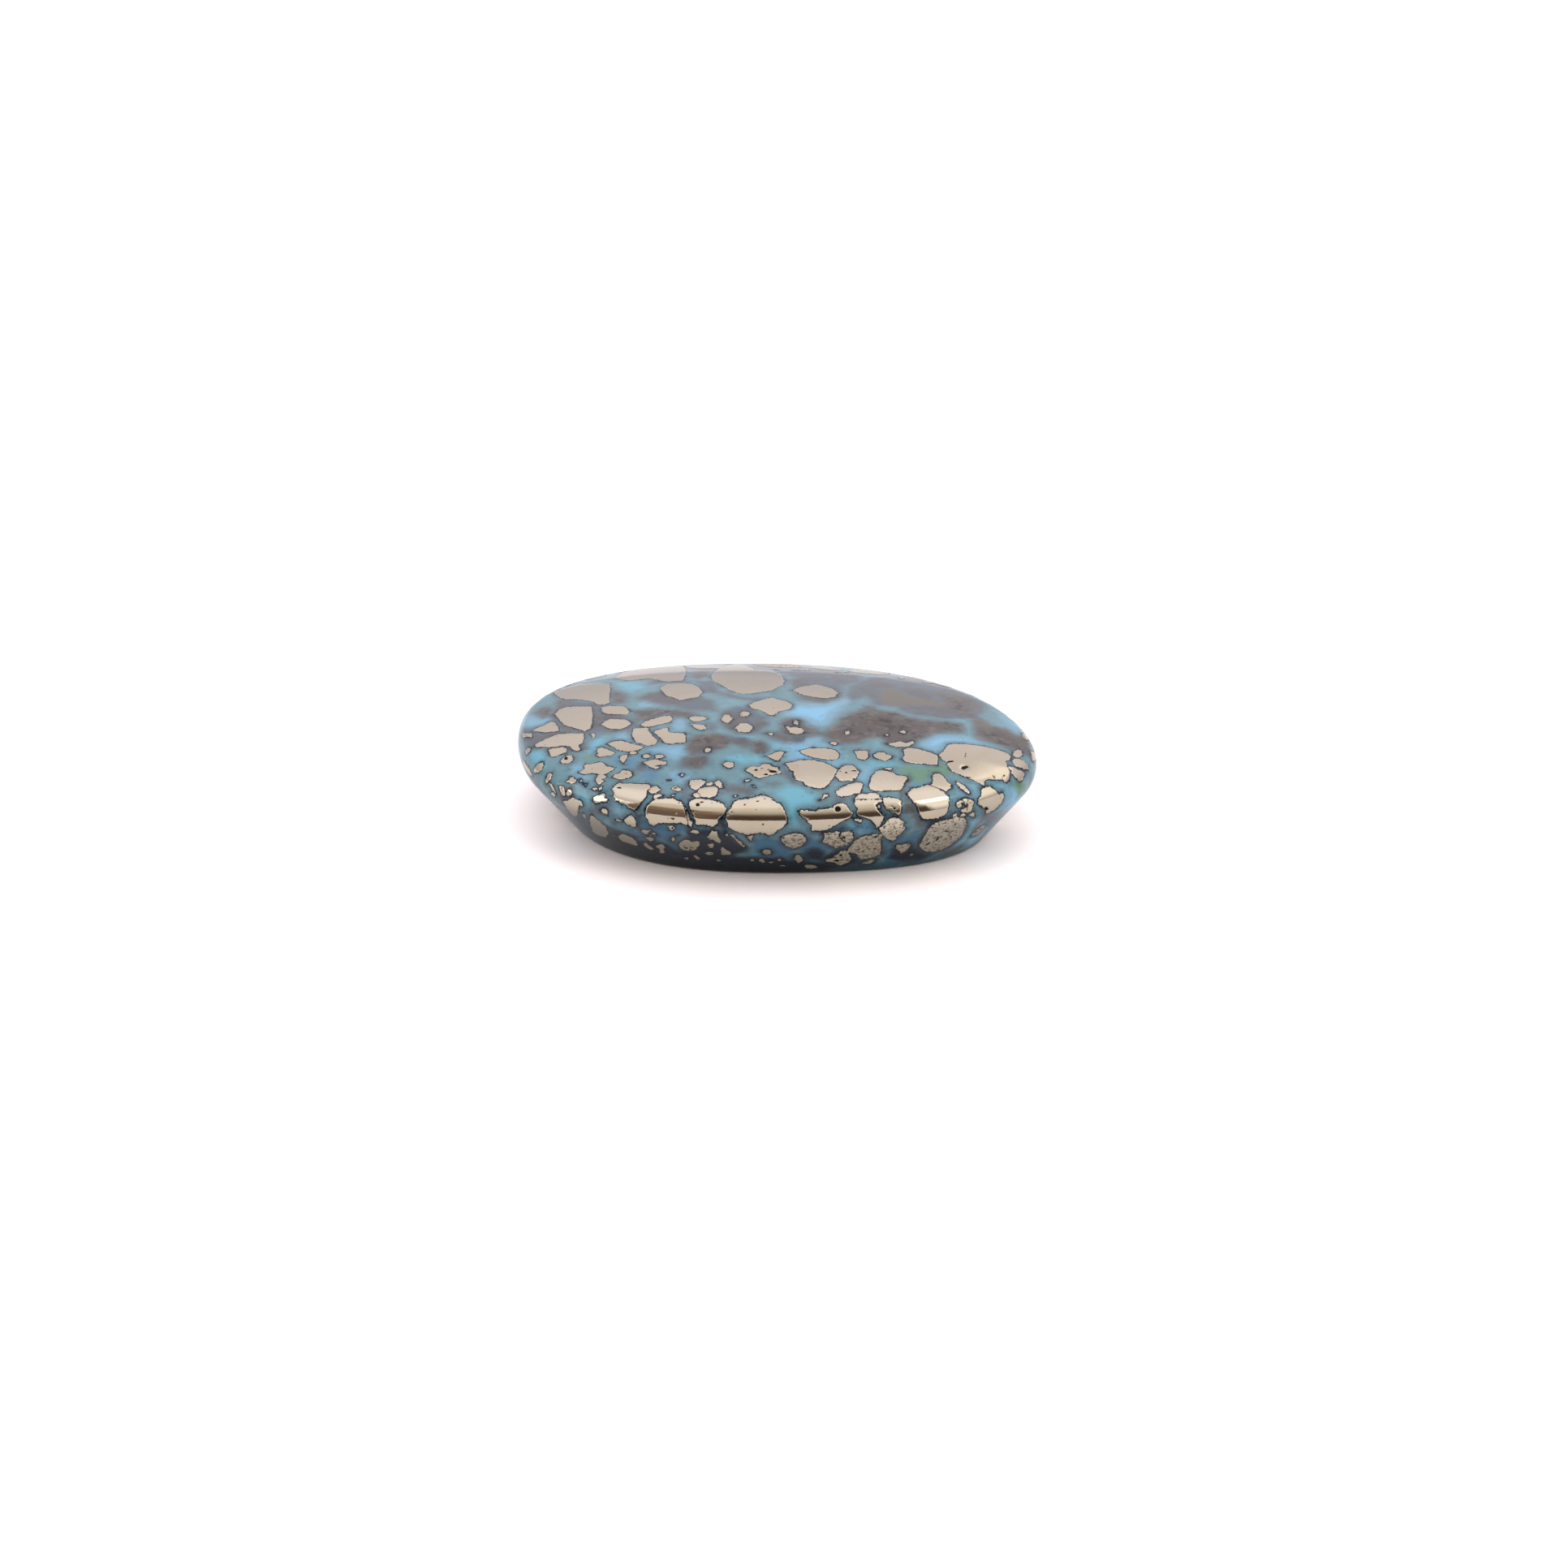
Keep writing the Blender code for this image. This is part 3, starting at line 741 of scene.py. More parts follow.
# small dark hollows in the plates: x, y, half width, half height, lean in degrees, all in pixels
pits = [
    (697, 933.5, 2.2, 2.4, 0), (770, 951.5, 3.5, 1.1, 20), (761.5, 957, 2.0, 1.0, 10), (762.5, 970, 3.0, 1.1, 0),
    (691, 971, 1.2, 1.2, 0), (832, 970, 2.4, 0.9, -10), (836, 988.5, 1.5, 0.9, 30), (829, 1008, 2.2, 0.8, 5),
    (823, 1007.5, 1.6, 0.8, 0), (832.5, 1002, 1.3, 0.8, 0), (859, 991.3, 2.8, 2.0, 0), (864, 988, 2.2, 0.8, -10),
    (886, 995.5, 1.0, 1.0, 0), (877, 989, 1.0, 0.7, 0), (853.5, 999.5, 1.8, 1.6, 0), (901, 1001, 1.1, 1.8, 20),
    (897, 1003.5, 1.2, 0.8, 0), (933, 986.6, 2.5, 0.8, -10), (917, 991, 0.9, 0.9, 0), (942, 983.3, 1.2, 0.8, 0),
    (960, 996, 1.4, 0.9, 0), (940, 1015.5, 1.3, 0.8, 20), (1032, 996.5, 4.3, 3.7, 0), (1021, 1017, 1.2, 0.8, 20),
    (1098, 993, 2.0, 1.1, 20), (1101.5, 995.5, 2.0, 1.8, 45), (1215, 996, 2.7, 2.5, 30), (1232.5, 982.5, 1.3, 1.0, 0),
    (1188, 945, 5.4, 2.1, -15), (1171, 937.5, 4.8, 1.1, -10), (1192, 957.3, 4.0, 0.9, 10), (1224, 956.5, 0.8, 3.2, -35),
    (1236, 956, 0.8, 3.2, 30), (1187, 992, 2.4, 2.0, 0), (1181.5, 997, 1.2, 3.0, 35), (931, 948, 2.2, 1.5, 0),
    (952, 950, 5.5, 1.6, 5), (943, 953.3, 3.2, 1.2, 0), (943, 950, 1.1, 0.9, 0), (938, 946, 2.2, 0.7, -20),
    (946, 947.5, 1.7, 1.0, 0), (1051.5, 959.3, 1.9, 1.5, -30), (1052, 949, 4.2, 0.8, 0), (1042, 951.3, 1.8, 0.8, 0),
    (1035, 949.3, 2.0, 0.7, 0), (982, 942.3, 1.2, 1.0, 0), (1067, 1033, 1.8, 1.4, 0), (1078, 1031, 2.2, 1.5, 0),
    (1082, 1029.5, 1.2, 1.0, 0), (1039, 1032, 2.5, 2.1, 0), (1034, 1028, 1.2, 3.0, 25), (1106, 1030, 1.8, 0.9, 0),
    (1089, 1020, 1.2, 1.0, 0), (1112, 1020, 1.2, 1.0, 0), (1035.5, 1053.5, 2.3, 1.8, -30), (1030, 1060.5, 4.0, 1.4, 5),
    (1044, 1059, 1.7, 1.3, 0), (1037, 1061, 1.8, 0.9, 0), (1154.5, 1033, 4.6, 1.3, -60), (1142.5, 1040, 2.8, 1.0, -20),
    (1165.5, 1023, 1.6, 1.1, 0), (1172.5, 1024, 1.4, 1.1, 0), (1183.5, 1019, 1.4, 1.0, 0), (1136.5, 1046, 1.3, 1.2, 0),
    (843, 1041.5, 1.5, 1.0, 0), (845, 1045, 2.2, 1.0, 10), (850, 1046.5, 2.1, 1.0, 0), (854, 1044.7, 2.2, 0.9, 0),
    (855, 1037, 1.7, 0.8, 0), (850, 1042.5, 1.7, 0.7, 20), (828, 1020, 1.7, 1.5, 0), (777, 1004.3, 1.3, 1.1, 0),
    (775, 1016.7, 2.0, 1.0, 10), (873, 1032.3, 1.4, 1.3, 0), (875, 1051, 1.4, 0.9, 0), (1110, 1043.2, 3.2, 0.9, 10),
    (1118, 1042.5, 2.6, 0.8, 0), (742, 1007, 0.8, 0.8, 0), (1189, 930, 0.8, 4.5, 10), (808, 943, 2.5, 0.9, -10),
]
stainKinds = ("blue", "cyan", "sky", "green", "smoke", "slate", "rock", "olive")


# soft-edged colour zones, drawn the same way
stainOutlines = {
    "rock": [
        [(852, 906), (875, 903), (896, 906), (898, 914), (888, 921), (872, 921), (864, 926), (850, 926),
         (847, 918)],
        [(926, 914), (938, 911), (946, 918), (944, 926), (930, 926)],
        [(962, 888), (974, 884), (990, 888), (986, 894), (966, 894)],
        [(1028, 893), (1035, 885), (1048, 878), (1060, 874), (1085, 874), (1105, 876), (1118, 882),
         (1135, 886), (1165, 888), (1186, 891), (1188, 902), (1150, 903), (1140, 908), (1130, 912),
         (1122, 920), (1095, 917), (1085, 908), (1068, 910), (1058, 914), (1040, 916), (1022, 912),
         (1010, 904), (1020, 898)],
        [(1197, 886), (1210, 886), (1222, 893), (1240, 897), (1252, 905), (1268, 908), (1274, 920),
         (1266, 930), (1250, 925), (1240, 921), (1222, 915), (1205, 910), (1199, 903)],
        [(780, 876), (800, 872), (830, 874), (850, 876), (858, 880), (845, 884), (815, 880), (800, 885),
         (785, 888)],
        [(658, 878), (665, 872), (675, 870), (682, 874), (680, 880), (668, 884)],
        [(752, 850), (762, 852), (772, 858), (768, 866), (755, 866)],
        [(963, 888), (972, 884), (985, 885), (993, 893), (1003, 898), (1012, 903), (1000, 906), (970, 906),
         (962, 900)],
        [(1160, 856), (1180, 856), (1200, 862), (1198, 884), (1188, 882), (1170, 872)],
        [(738, 884), (748, 883), (752, 886), (742, 888)],
        [(846, 932), (860, 930), (870, 934), (866, 940), (856, 944), (846, 942)],
    ],
    "olive": [
        [(1085, 850), (1098, 847), (1112, 852), (1125, 858), (1160, 864), (1162, 870), (1120, 868),
         (1095, 870), (1084, 862)],
        [(1203, 888), (1214, 888), (1222, 896), (1210, 898)],
    ],
    "smoke": [
        [(1016, 826), (1060, 829), (1064, 840), (1040, 846), (1018, 843)],
        [(840, 932), (872, 930), (876, 942), (860, 948), (838, 947), (832, 944)],
        [(894, 906), (918, 908), (936, 912), (934, 924), (914, 922), (898, 914)],
        [(846, 908), (900, 904), (898, 920), (872, 930), (850, 932)],
        [(912, 819), (936, 818.5, 0.8), (966, 820, 0.8), (1000, 822), (1040, 826), (1036, 834), (1000, 834),
         (975, 834), (962, 828), (930, 824)],
        [(846, 821), (880, 822), (878, 832), (858, 838), (846, 834)],
        [(1100, 868), (1130, 868), (1190, 872), (1200, 880), (1190, 887), (1165, 886), (1130, 882), (1105, 876)],
        [(741, 990), (752, 990), (749, 997), (740, 996)],
        [(1207, 994), (1224, 1002), (1234, 998), (1228, 1010), (1210, 1014), (1196, 1032), (1194, 1022),
         (1208, 1008)],
        [(1160, 1046), (1190, 1036), (1192, 1042), (1175, 1052), (1160, 1054)],
        [(1110, 984), (1118, 979), (1128, 992), (1134, 1004), (1140, 1012), (1136, 1022), (1128, 1020),
         (1124, 1008), (1118, 1004), (1110, 1003)],
        [(688, 972), (704, 970), (712, 985), (708, 1000), (694, 998), (684, 984)],
        [(846, 850), (880, 862), (886, 876), (850, 876), (800, 866), (780, 860), (800, 852)],
        [(1045, 843), (1070, 834), (1095, 831), (1130, 835), (1160, 840), (1195, 850), (1225, 868),
         (1215, 876), (1200, 888), (1180, 876), (1140, 874), (1095, 870), (1072, 868), (1066, 858),
         (1050, 864), (1040, 856)],
        [(970, 838), (985, 832), (1020, 832), (1036, 838), (1042, 850), (1034, 862), (1015, 866), (980, 862)],
        [(685, 862), (740, 864), (778, 882), (792, 894), (775, 902), (740, 904), (722, 905), (690, 904),
         (678, 888), (680, 872)],
        [(884, 876), (908, 868), (930, 872), (948, 884), (946, 896), (930, 904), (905, 906), (884, 894)],
        [(640, 899), (690, 899), (724, 902), (722, 922), (700, 927), (672, 925), (655, 922), (642, 916)],
        [(855, 838), (880, 838), (888, 850), (915, 858), (940, 858), (938, 866), (915, 862), (890, 858),
         (868, 852)],
        [(926, 900), (962, 900), (975, 906), (990, 908), (985, 914), (965, 914), (945, 910)],
        [(888, 970), (905, 966), (925, 968), (934, 972), (928, 979), (905, 978), (890, 977)],
        [(938, 962), (958, 961), (964, 965), (955, 970), (940, 969)],
        [(958, 942), (968, 940), (976, 955), (985, 962), (992, 968), (980, 968), (966, 958)],
        [(786, 940), (796, 938), (800, 946), (790, 950), (776, 950), (782, 945)],
        [(866, 888), (882, 888), (888, 896), (878, 902), (866, 900)],
        [(1060, 868), (1078, 868), (1082, 876), (1064, 876)],
        [(850, 843), (868, 843), (874, 852), (858, 857)],
        [(845, 962), (850, 975), (850, 985), (842, 982), (838, 970)],
        [(1028, 976), (1034, 970), (1036, 982), (1046, 984), (1040, 990), (1030, 986)],
        [(1108, 968), (1120, 952), (1124, 960), (1114, 970), (1122, 975), (1112, 986), (1106, 982)],
        [(776, 826), (800, 822), (845, 826), (846, 842), (800, 843), (800, 836), (770, 838)],
        [(722, 994), (736, 990), (752, 992), (748, 1006), (736, 1006), (726, 1002)],
    ],
    "slate": [
        [(1144, 1004), (1176, 1000), (1184, 1006), (1186, 1014), (1180, 1028), (1160, 1038), (1134, 1046),
         (1130, 1038), (1140, 1014)],
        [(930, 918), (938, 914), (945, 920), (943, 926), (934, 926)],
        [(932, 891), (940, 888), (947, 891), (938, 895)],
        [(962, 899), (969, 897), (972, 904), (965, 906)],
        [(972, 906), (992, 905), (988, 914), (978, 914)],
        [(858, 936), (866, 934), (872, 938), (864, 941)],
        [(904, 908), (918, 908), (920, 914), (906, 914)],
        [(700, 1002), (730, 1018), (765, 1030), (800, 1044), (850, 1050), (900, 1054), (960, 1057),
         (1010, 1062), (1040, 1066), (1030, 1076), (900, 1076), (800, 1064), (740, 1040), (704, 1014)],
        [(845, 1019), (865, 1018), (880, 1020), (893, 1024), (905, 1032), (918, 1042), (923, 1050),
         (905, 1052), (900, 1064), (880, 1068), (850, 1064), (820, 1058), (795, 1052), (770, 1042),
         (782, 1034), (806, 1036), (822, 1040), (836, 1048), (838, 1034), (844, 1030)],
        [(690, 988), (700, 1000), (714, 1003), (724, 1006), (726, 1022), (712, 1016), (698, 1006)],
        [(777, 998), (784, 999), (792, 1003), (789, 1012), (786, 1022), (783, 1008)],
        [(752, 1012), (758, 1011), (761, 1016), (755, 1018)],
        [(686, 966), (700, 966), (708, 972), (706, 984), (696, 986), (690, 980)],
        [(1100, 1044), (1124, 1040), (1132, 1048), (1150, 1052), (1135, 1060), (1105, 1062), (1092, 1058)],
        [(880, 1000), (894, 1000), (898, 1018), (906, 1026), (890, 1026), (884, 1016)],
        [(1008, 1022), (1030, 1018), (1040, 1012), (1048, 1020), (1040, 1026), (1012, 1028)],
        [(1028, 1046), (1044, 1042), (1052, 1052), (1060, 1062), (1040, 1068), (1014, 1066), (1014, 1056)],
        [(1056, 996), (1086, 984), (1090, 1000), (1108, 1006), (1090, 1012), (1080, 1006)],
        [(988, 1046), (1008, 1044), (1018, 1050), (1012, 1060), (992, 1060)],
        [(750, 1018), (766, 1024), (786, 1030), (788, 1042), (770, 1038), (750, 1032)],
    ],
    "sky": [
        [(1200, 1014), (1212, 1008), (1216, 1018), (1206, 1034), (1192, 1044), (1180, 1048), (1188, 1036),
         (1198, 1026)],
        [(965, 880), (966, 870), (980, 867), (1014, 866), (1034, 860), (1046, 858), (1048, 864), (1040, 871),
         (1030, 878), (1024, 886), (1018, 892), (1005, 892), (990, 886), (975, 884)],
        [(962, 916), (1000, 912), (1030, 918), (1040, 932), (1030, 950), (1014, 952), (1008, 940), (975, 938)],
        [(1046, 940), (1075, 944), (1076, 958), (1058, 964)],
        [(1128, 917), (1140, 908), (1155, 904), (1188, 906), (1205, 912), (1215, 917), (1172, 916),
         (1160, 924), (1150, 926), (1140, 922)],
        [(1225, 875), (1240, 880), (1252, 885), (1264, 896), (1270, 906), (1255, 905), (1245, 897), (1236, 888)],
        [(638, 896), (642, 884), (650, 880), (662, 883), (677, 886), (672, 890), (660, 893), (648, 900)],
        [(785, 868), (795, 862), (810, 862), (812, 868), (800, 872)],
        [(800, 922), (820, 918), (845, 918), (844, 929), (835, 935), (820, 934), (812, 928)],
        [(830, 886), (842, 884), (844, 899), (830, 900)],
        [(760, 901), (775, 898), (779, 905), (777, 912), (765, 911)],
        [(985, 912), (1000, 909), (1012, 908), (1010, 914), (1000, 920), (985, 922)],
        [(1236, 964), (1256, 956), (1265, 962), (1262, 980), (1250, 996), (1238, 1000), (1230, 992), (1240, 980)],
        [(704, 944), (718, 940), (726, 950), (724, 968), (712, 970), (704, 958)],
        [(824, 950), (846, 949), (850, 960), (838, 965), (824, 961)],
        [(1180, 970), (1196, 968), (1205, 978), (1198, 987), (1184, 985)],
        # this small light-blue patch is a painted highlight, a lamp's glint on the turquoise
        [(757, 988), (766, 987), (770, 996), (764, 1001), (758, 998)],
    ],
    "cyan": [
        [(1220, 962), (1240, 960), (1256, 956), (1260, 970), (1252, 990), (1238, 998), (1222, 1002), (1236, 985)],
        [(1130, 966), (1158, 970), (1176, 978), (1178, 990), (1160, 990), (1140, 984)],
        [(1056, 867), (1090, 873), (1130, 876), (1186, 880), (1195, 888), (1197, 905), (1192, 905),
         (1189, 890), (1130, 881), (1090, 878), (1060, 872)],
        [(1125, 962), (1150, 965), (1156, 975), (1150, 986), (1135, 990), (1122, 978)],
        [(1176, 975), (1195, 978), (1204, 996), (1200, 1010), (1204, 984), (1190, 980)],
        [(1190, 1012), (1202, 1006), (1212, 1014), (1206, 1030), (1192, 1036), (1180, 1046), (1168, 1048),
         (1180, 1036), (1192, 1024)],
        [(757, 842), (775, 838), (793, 840), (795, 848), (780, 851), (765, 849)],
        [(845, 825), (865, 822), (876, 828), (870, 835), (850, 837)],
        [(966, 966), (985, 965), (996, 972), (1008, 978), (1003, 988), (986, 996), (980, 1008), (984, 1020),
         (972, 1018), (968, 1000), (962, 986), (952, 978)],
        [(935, 915), (950, 914), (985, 914), (1000, 916), (985, 925), (970, 932), (964, 924), (950, 922)],
        [(722, 925), (728, 912), (735, 906), (748, 908), (745, 915), (735, 922), (726, 928)],
        [(887, 932), (910, 929), (940, 931), (938, 939), (912, 941), (896, 938)],
        [(1072, 937), (1100, 937), (1106, 944), (1090, 947), (1074, 946), (1060, 942)],
        [(650, 928), (668, 922), (676, 932), (674, 945), (668, 950), (658, 945)],
        [(1196, 964), (1206, 965), (1209, 980), (1204, 992), (1198, 984)],
        [(700, 970), (720, 972), (732, 990), (726, 996), (708, 984)],
        [(1040, 1012), (1058, 1012), (1072, 1016), (1076, 1024), (1060, 1027), (1046, 1022)],
        [(1048, 962), (1070, 950), (1072, 965), (1062, 976)],
    ],
    "green": [
        [(1245, 964), (1257, 958), (1265, 964), (1262, 979), (1251, 985)],
        [(1104, 944), (1120, 943), (1152, 944), (1160, 936), (1170, 944), (1176, 952), (1165, 956),
         (1148, 952), (1144, 962), (1130, 964), (1116, 956)],
        [(720, 932), (738, 930), (736, 936), (722, 940)],
        [(1060, 1052), (1084, 1050), (1088, 1060), (1066, 1062)],
    ],
    "blue": [
        [(984, 1040), (1016, 1042), (1020, 1056), (1000, 1060), (984, 1054)],
        [(1086, 1052), (1108, 1050), (1118, 1060), (1100, 1068), (1080, 1066)],
        [(1046, 1008), (1062, 1014), (1076, 1012), (1084, 1020), (1080, 1028), (1070, 1024), (1050, 1022)],
        [(922, 1032), (945, 1029), (962, 1034), (980, 1044), (970, 1058), (935, 1058), (924, 1046)],
        [(800, 1016), (845, 1015), (846, 1024), (830, 1036), (800, 1034), (786, 1026), (788, 1018)],
        [(985, 1028), (1012, 1036), (1030, 1044), (1020, 1050), (985, 1050), (978, 1044)],
        [(1086, 1034), (1104, 1032), (1128, 1026), (1136, 1016), (1138, 1030), (1128, 1040), (1100, 1042),
         (1088, 1050)],
        [(1054, 945), (1072, 944), (1072, 956), (1062, 962), (1054, 956)],
        [(790, 948), (812, 946), (815, 960), (800, 964), (786, 958)],
        [(790, 930), (760, 932), (745, 932), (755, 942), (780, 948), (790, 940)],
        [(826, 972), (846, 978), (846, 986), (832, 984)],
        [(790, 918), (815, 918), (812, 926), (800, 928)],
    ],
}


# pyrite and stains that the photograph doesn't show: the far side, the ends and the base
hiddenPyrite = {
    "tries": 460,
    "attempts": 25,
    "seed": 11,
    "smallest": 0.16,        # radius in millimetres
    "largest": 2.3,
    "towardsLarge": 1.3,     # above 1 there are more small ones
    "gap": 0.09,
    "crossing": 0.5,         # share of the radius that may reach into the seen part of the crown
    "margin": 0.15,          # how far they keep from what is seen elsewhere
    "grittyShare": 0.2,
}
hiddenStains = {
    "count": 120,
    "seed": 5,
    "smallest": 0.9,
    "largest": 3.6,
    "weights": (0.16, 0.14, 0.14, 0.05, 0.20, 0.13, 0.14, 0.04),   # in the order of stainKinds
}


def hiddenArea(surface):  # points that are hidden or seen edge-on, and how far each is from the rest
    view = surface.points - np.array(surface.eye)
    view = view / np.linalg.norm(view, axis=1)[:, None]
    facing = -(view * surface.normals).sum(1)
    hidden = (facing <= 0.0) | ((facing < 0.18) & (surface.normals[:, 2] > 0.3))
    shown = np.nonzero(~hidden)[0][::3]
    tree = KDTree(len(shown))
    for index in shown:
        tree.insert(surface.points[index], int(index))
    tree.balance()
    area = np.nonzero(hidden)[0]
    room = np.array([tree.find(surface.points[index])[2] * 1000 for index in area])
    return area, room


def scatterOutline(surface, index, radius, jagged):  # a random uneven outline round one point of the surface
    centre, up = surface.points[index], surface.normals[index]
    side = np.cross(up, (0.3, 0.5, 0.81))
    side = side / np.linalg.norm(side)
    across = np.cross(up, side)
    stretch, lean = random.uniform(0.5, 1.0), random.uniform(0, math.pi)
    count = random.choice((6, 7, 8, 9, 11))
    corners, facing = [], []
    for step in range(count):
        angle = 2 * math.pi * (step + random.uniform(-0.3, 0.3)) / count
        far = radius * 0.001 * random.uniform(1 - jagged, 1.05)
        x, y = far * math.cos(angle), far * stretch * math.sin(angle)
        x, y = x * math.cos(lean) - y * math.sin(lean), x * math.sin(lean) + y * math.cos(lean)
        place, normal, _, _ = surface.tree.find_nearest(Vector(centre + side * x + across * y))
        corners.append(place)
        facing.append(normal)
    return corners, facing


def hiddenOutlines(surface, area, room, drawn, choice):
    random.seed(choice["seed"])
    span = choice["largest"] / choice["smallest"]
    sizes = [choice["smallest"] * span ** (random.random() ** choice["towardsLarge"])
             for _ in range(choice["tries"])]
    made, centres, radii = [], np.zeros((0, 3)), np.zeros(0)
    for radius in sorted(sizes, reverse=True):       # the largest find their places first
        for _ in range(choice["attempts"]):
            pick = random.randrange(len(area))
            index = area[pick]
            centre = surface.points[index]
            apart = np.linalg.norm(centres - centre, axis=1) * 1000 > (radii + radius) * 0.88 + choice["gap"]
            within = radius * (choice["crossing"] if surface.normals[index, 2] > 0 else 1) + choice["margin"]
            free = -drawn[index] > min(radius + choice["gap"], 1.2)
            if room[pick] > within and free and apart.all():
                break
        else:
            continue
        centres = np.vstack([centres, centre])
        radii = np.append(radii, radius)
        corners, normals = scatterOutline(surface, int(index), radius, 0.32)
        made.append((corners, normals, random.random() < choice["grittyShare"]))
    return made


def drawPlates(surface, plates, layers, drawn, grit):   # neighbours go into different layers
    for corners, facing, gritty in plates:
        ring = np.array([tuple(c) for c in corners])
        ring = np.concatenate([ring, (ring + np.roll(ring, -1, axis=0)) / 2])
        space = []
        for done in drawn:
            gaps = [np.sqrt(((ring[:, None] - other[None]) ** 2).sum(2).min()) for other in done]
            space.append(min(gaps, default=1.0))
        layer = 0 if space[0] >= space[1] else 1
        drawn[layer].append(ring)
        drawOutline(surface, layers[layer], corners, facing)
        if gritty:
            drawOutline(surface, grit, corners, facing)


def drawPyrite(surface, area, room):
    layers = [np.full(len(surface.points), -1.5) for _ in range(2)]
    grit = np.full(len(surface.points), -1.5)
    drawn = [[], []]
    seen = []
    for group, outlines in pyriteOutlines.items():
        for outline in outlines:
            corners, facing = surface.castOutline(outline)
            if len(corners) > 2:
                seen.append((corners, facing, group == "gritty"))
    drawPlates(surface, seen, layers, drawn, grit)
    hidden = hiddenOutlines(surface, area, room, np.maximum(*layers), hiddenPyrite)
    drawPlates(surface, hidden, layers, drawn, grit)
    print("pyrite drawn:", len(seen), "plates seen,", len(hidden), "hidden")
    return layers, grit


def drawPits(surface):
    field = np.full(len(surface.points), -1.5)
    for x, y, wide, high, lean in pits:
        turn = math.radians(lean)
        ring = []
        for step in range(10):
            angle = math.pi * step / 5
            across, up = wide * math.cos(angle), high * math.sin(angle)
            ring.append((x + across * math.cos(turn) - up * math.sin(turn),
                         y + across * math.sin(turn) + up * math.cos(turn)))
        corners, facing = surface.castOutline(ring)
        if len(corners) == 10:
            drawOutline(surface, field, corners, facing)
    return field


def drawStains(surface, area, room, choice):
    fields = {kind: np.full(len(surface.points), -1.5) for kind in stainKinds}
    for kind, outlines in stainOutlines.items():
        for outline in outlines:
            corners, facing = surface.castOutline(outline)
            if len(corners) > 2:
                drawOutline(surface, fields[kind], corners, facing)
    random.seed(choice["seed"])
    for _ in range(choice["count"]):
        pick = random.randrange(len(area))
        kind = random.choices(stainKinds, choice["weights"])[0]
        radius = random.uniform(choice["smallest"], choice["largest"])
        if room[pick] > radius * 0.7:
            corners, facing = scatterOutline(surface, int(area[pick]), radius, 0.55)
            drawOutline(surface, fields[kind], corners, facing)
    return fields


def writeField(piece, name, values):
    layer = piece.data.attributes.new(name, "FLOAT", "POINT")
    layer.data.foreach_set("value", values.astype(np.float32))


relief = {"turquoiseSink": 0.014, "pitDepth": 0.06}     # millimetres


def softStep(values, low, high):
    share = np.clip((values - low) / (high - low), 0, 1)
    return share * share * (3 - 2 * share)


def carveRelief(piece, surface, layers, pitField):  # pyrite is harder, so polishing leaves it a little proud
    plate = softStep(np.maximum(*layers), -0.10, 0.06)
    sink = (1 - plate) * relief["turquoiseSink"] + softStep(pitField, -0.01, 0.14) * relief["pitDepth"]
    flatBase = surface.points[:, 2] < 0.00002
    sink[flatBase] = 0
    points = surface.points - surface.normals * sink[:, None] / 1000
    points[:, 2] = np.maximum(points[:, 2], 0)
    writePoints(piece, points)


area, room = hiddenArea(surface)
layers, grit = drawPyrite(surface, area, room)
pitField = drawPits(surface)
writeField(stone, "platesA", layers[0])
writeField(stone, "platesB", layers[1])
writeField(stone, "gritty", grit)
writeField(stone, "pits", pitField)
for kind, values in drawStains(surface, area, room, hiddenStains).items():
    writeField(stone, kind, values)
carveRelief(stone, surface, layers, pitField)
print("colour fields written")


# ---- the polished stone's finish; lengths in here are millimetres
finish = {
    "turquoiseDeep": (0.022, 0.085, 0.118),
    "turquoise": (0.120, 0.228, 0.256),
    "turquoiseLight": (0.148, 0.322, 0.376),
    "sky": (0.165, 0.318, 0.405),
    "skyBright": (0.186, 0.425, 0.605),
    "cyan": (0.122, 0.350, 0.440),
    "green": (0.117, 0.229, 0.146),
    "blue": (0.026, 0.112, 0.190),
    "bluePale": (0.082, 0.190, 0.276),
    "smoke": (0.088, 0.108, 0.126),
    "smokeWarm": (0.088, 0.080, 0.078),
    "slate": (0.010, 0.016, 0.030),
    "rock": (0.085, 0.066, 0.054),
    "rockPink": (0.140, 0.104, 0.090),
    "rockDark": (0.034, 0.026, 0.025),
    "olive": (0.130, 0.105, 0.072),
    "rim": (0.006, 0.008, 0.015),
    # painted contact shade at the foot of the wall
    "footShade": (0.005, 0.007, 0.011),
    "pyrite": (0.520, 0.440, 0.333),
    "pyriteWarm": (0.500, 0.412, 0.296),
    "pyriteDull": (0.340, 0.285, 0.210),
    # brighter than pyrite: painted light for the gritty plates
    "pyriteGrittyLit": (0.640, 0.545, 0.420),
    "hollow": (0.020, 0.014, 0.010),
}


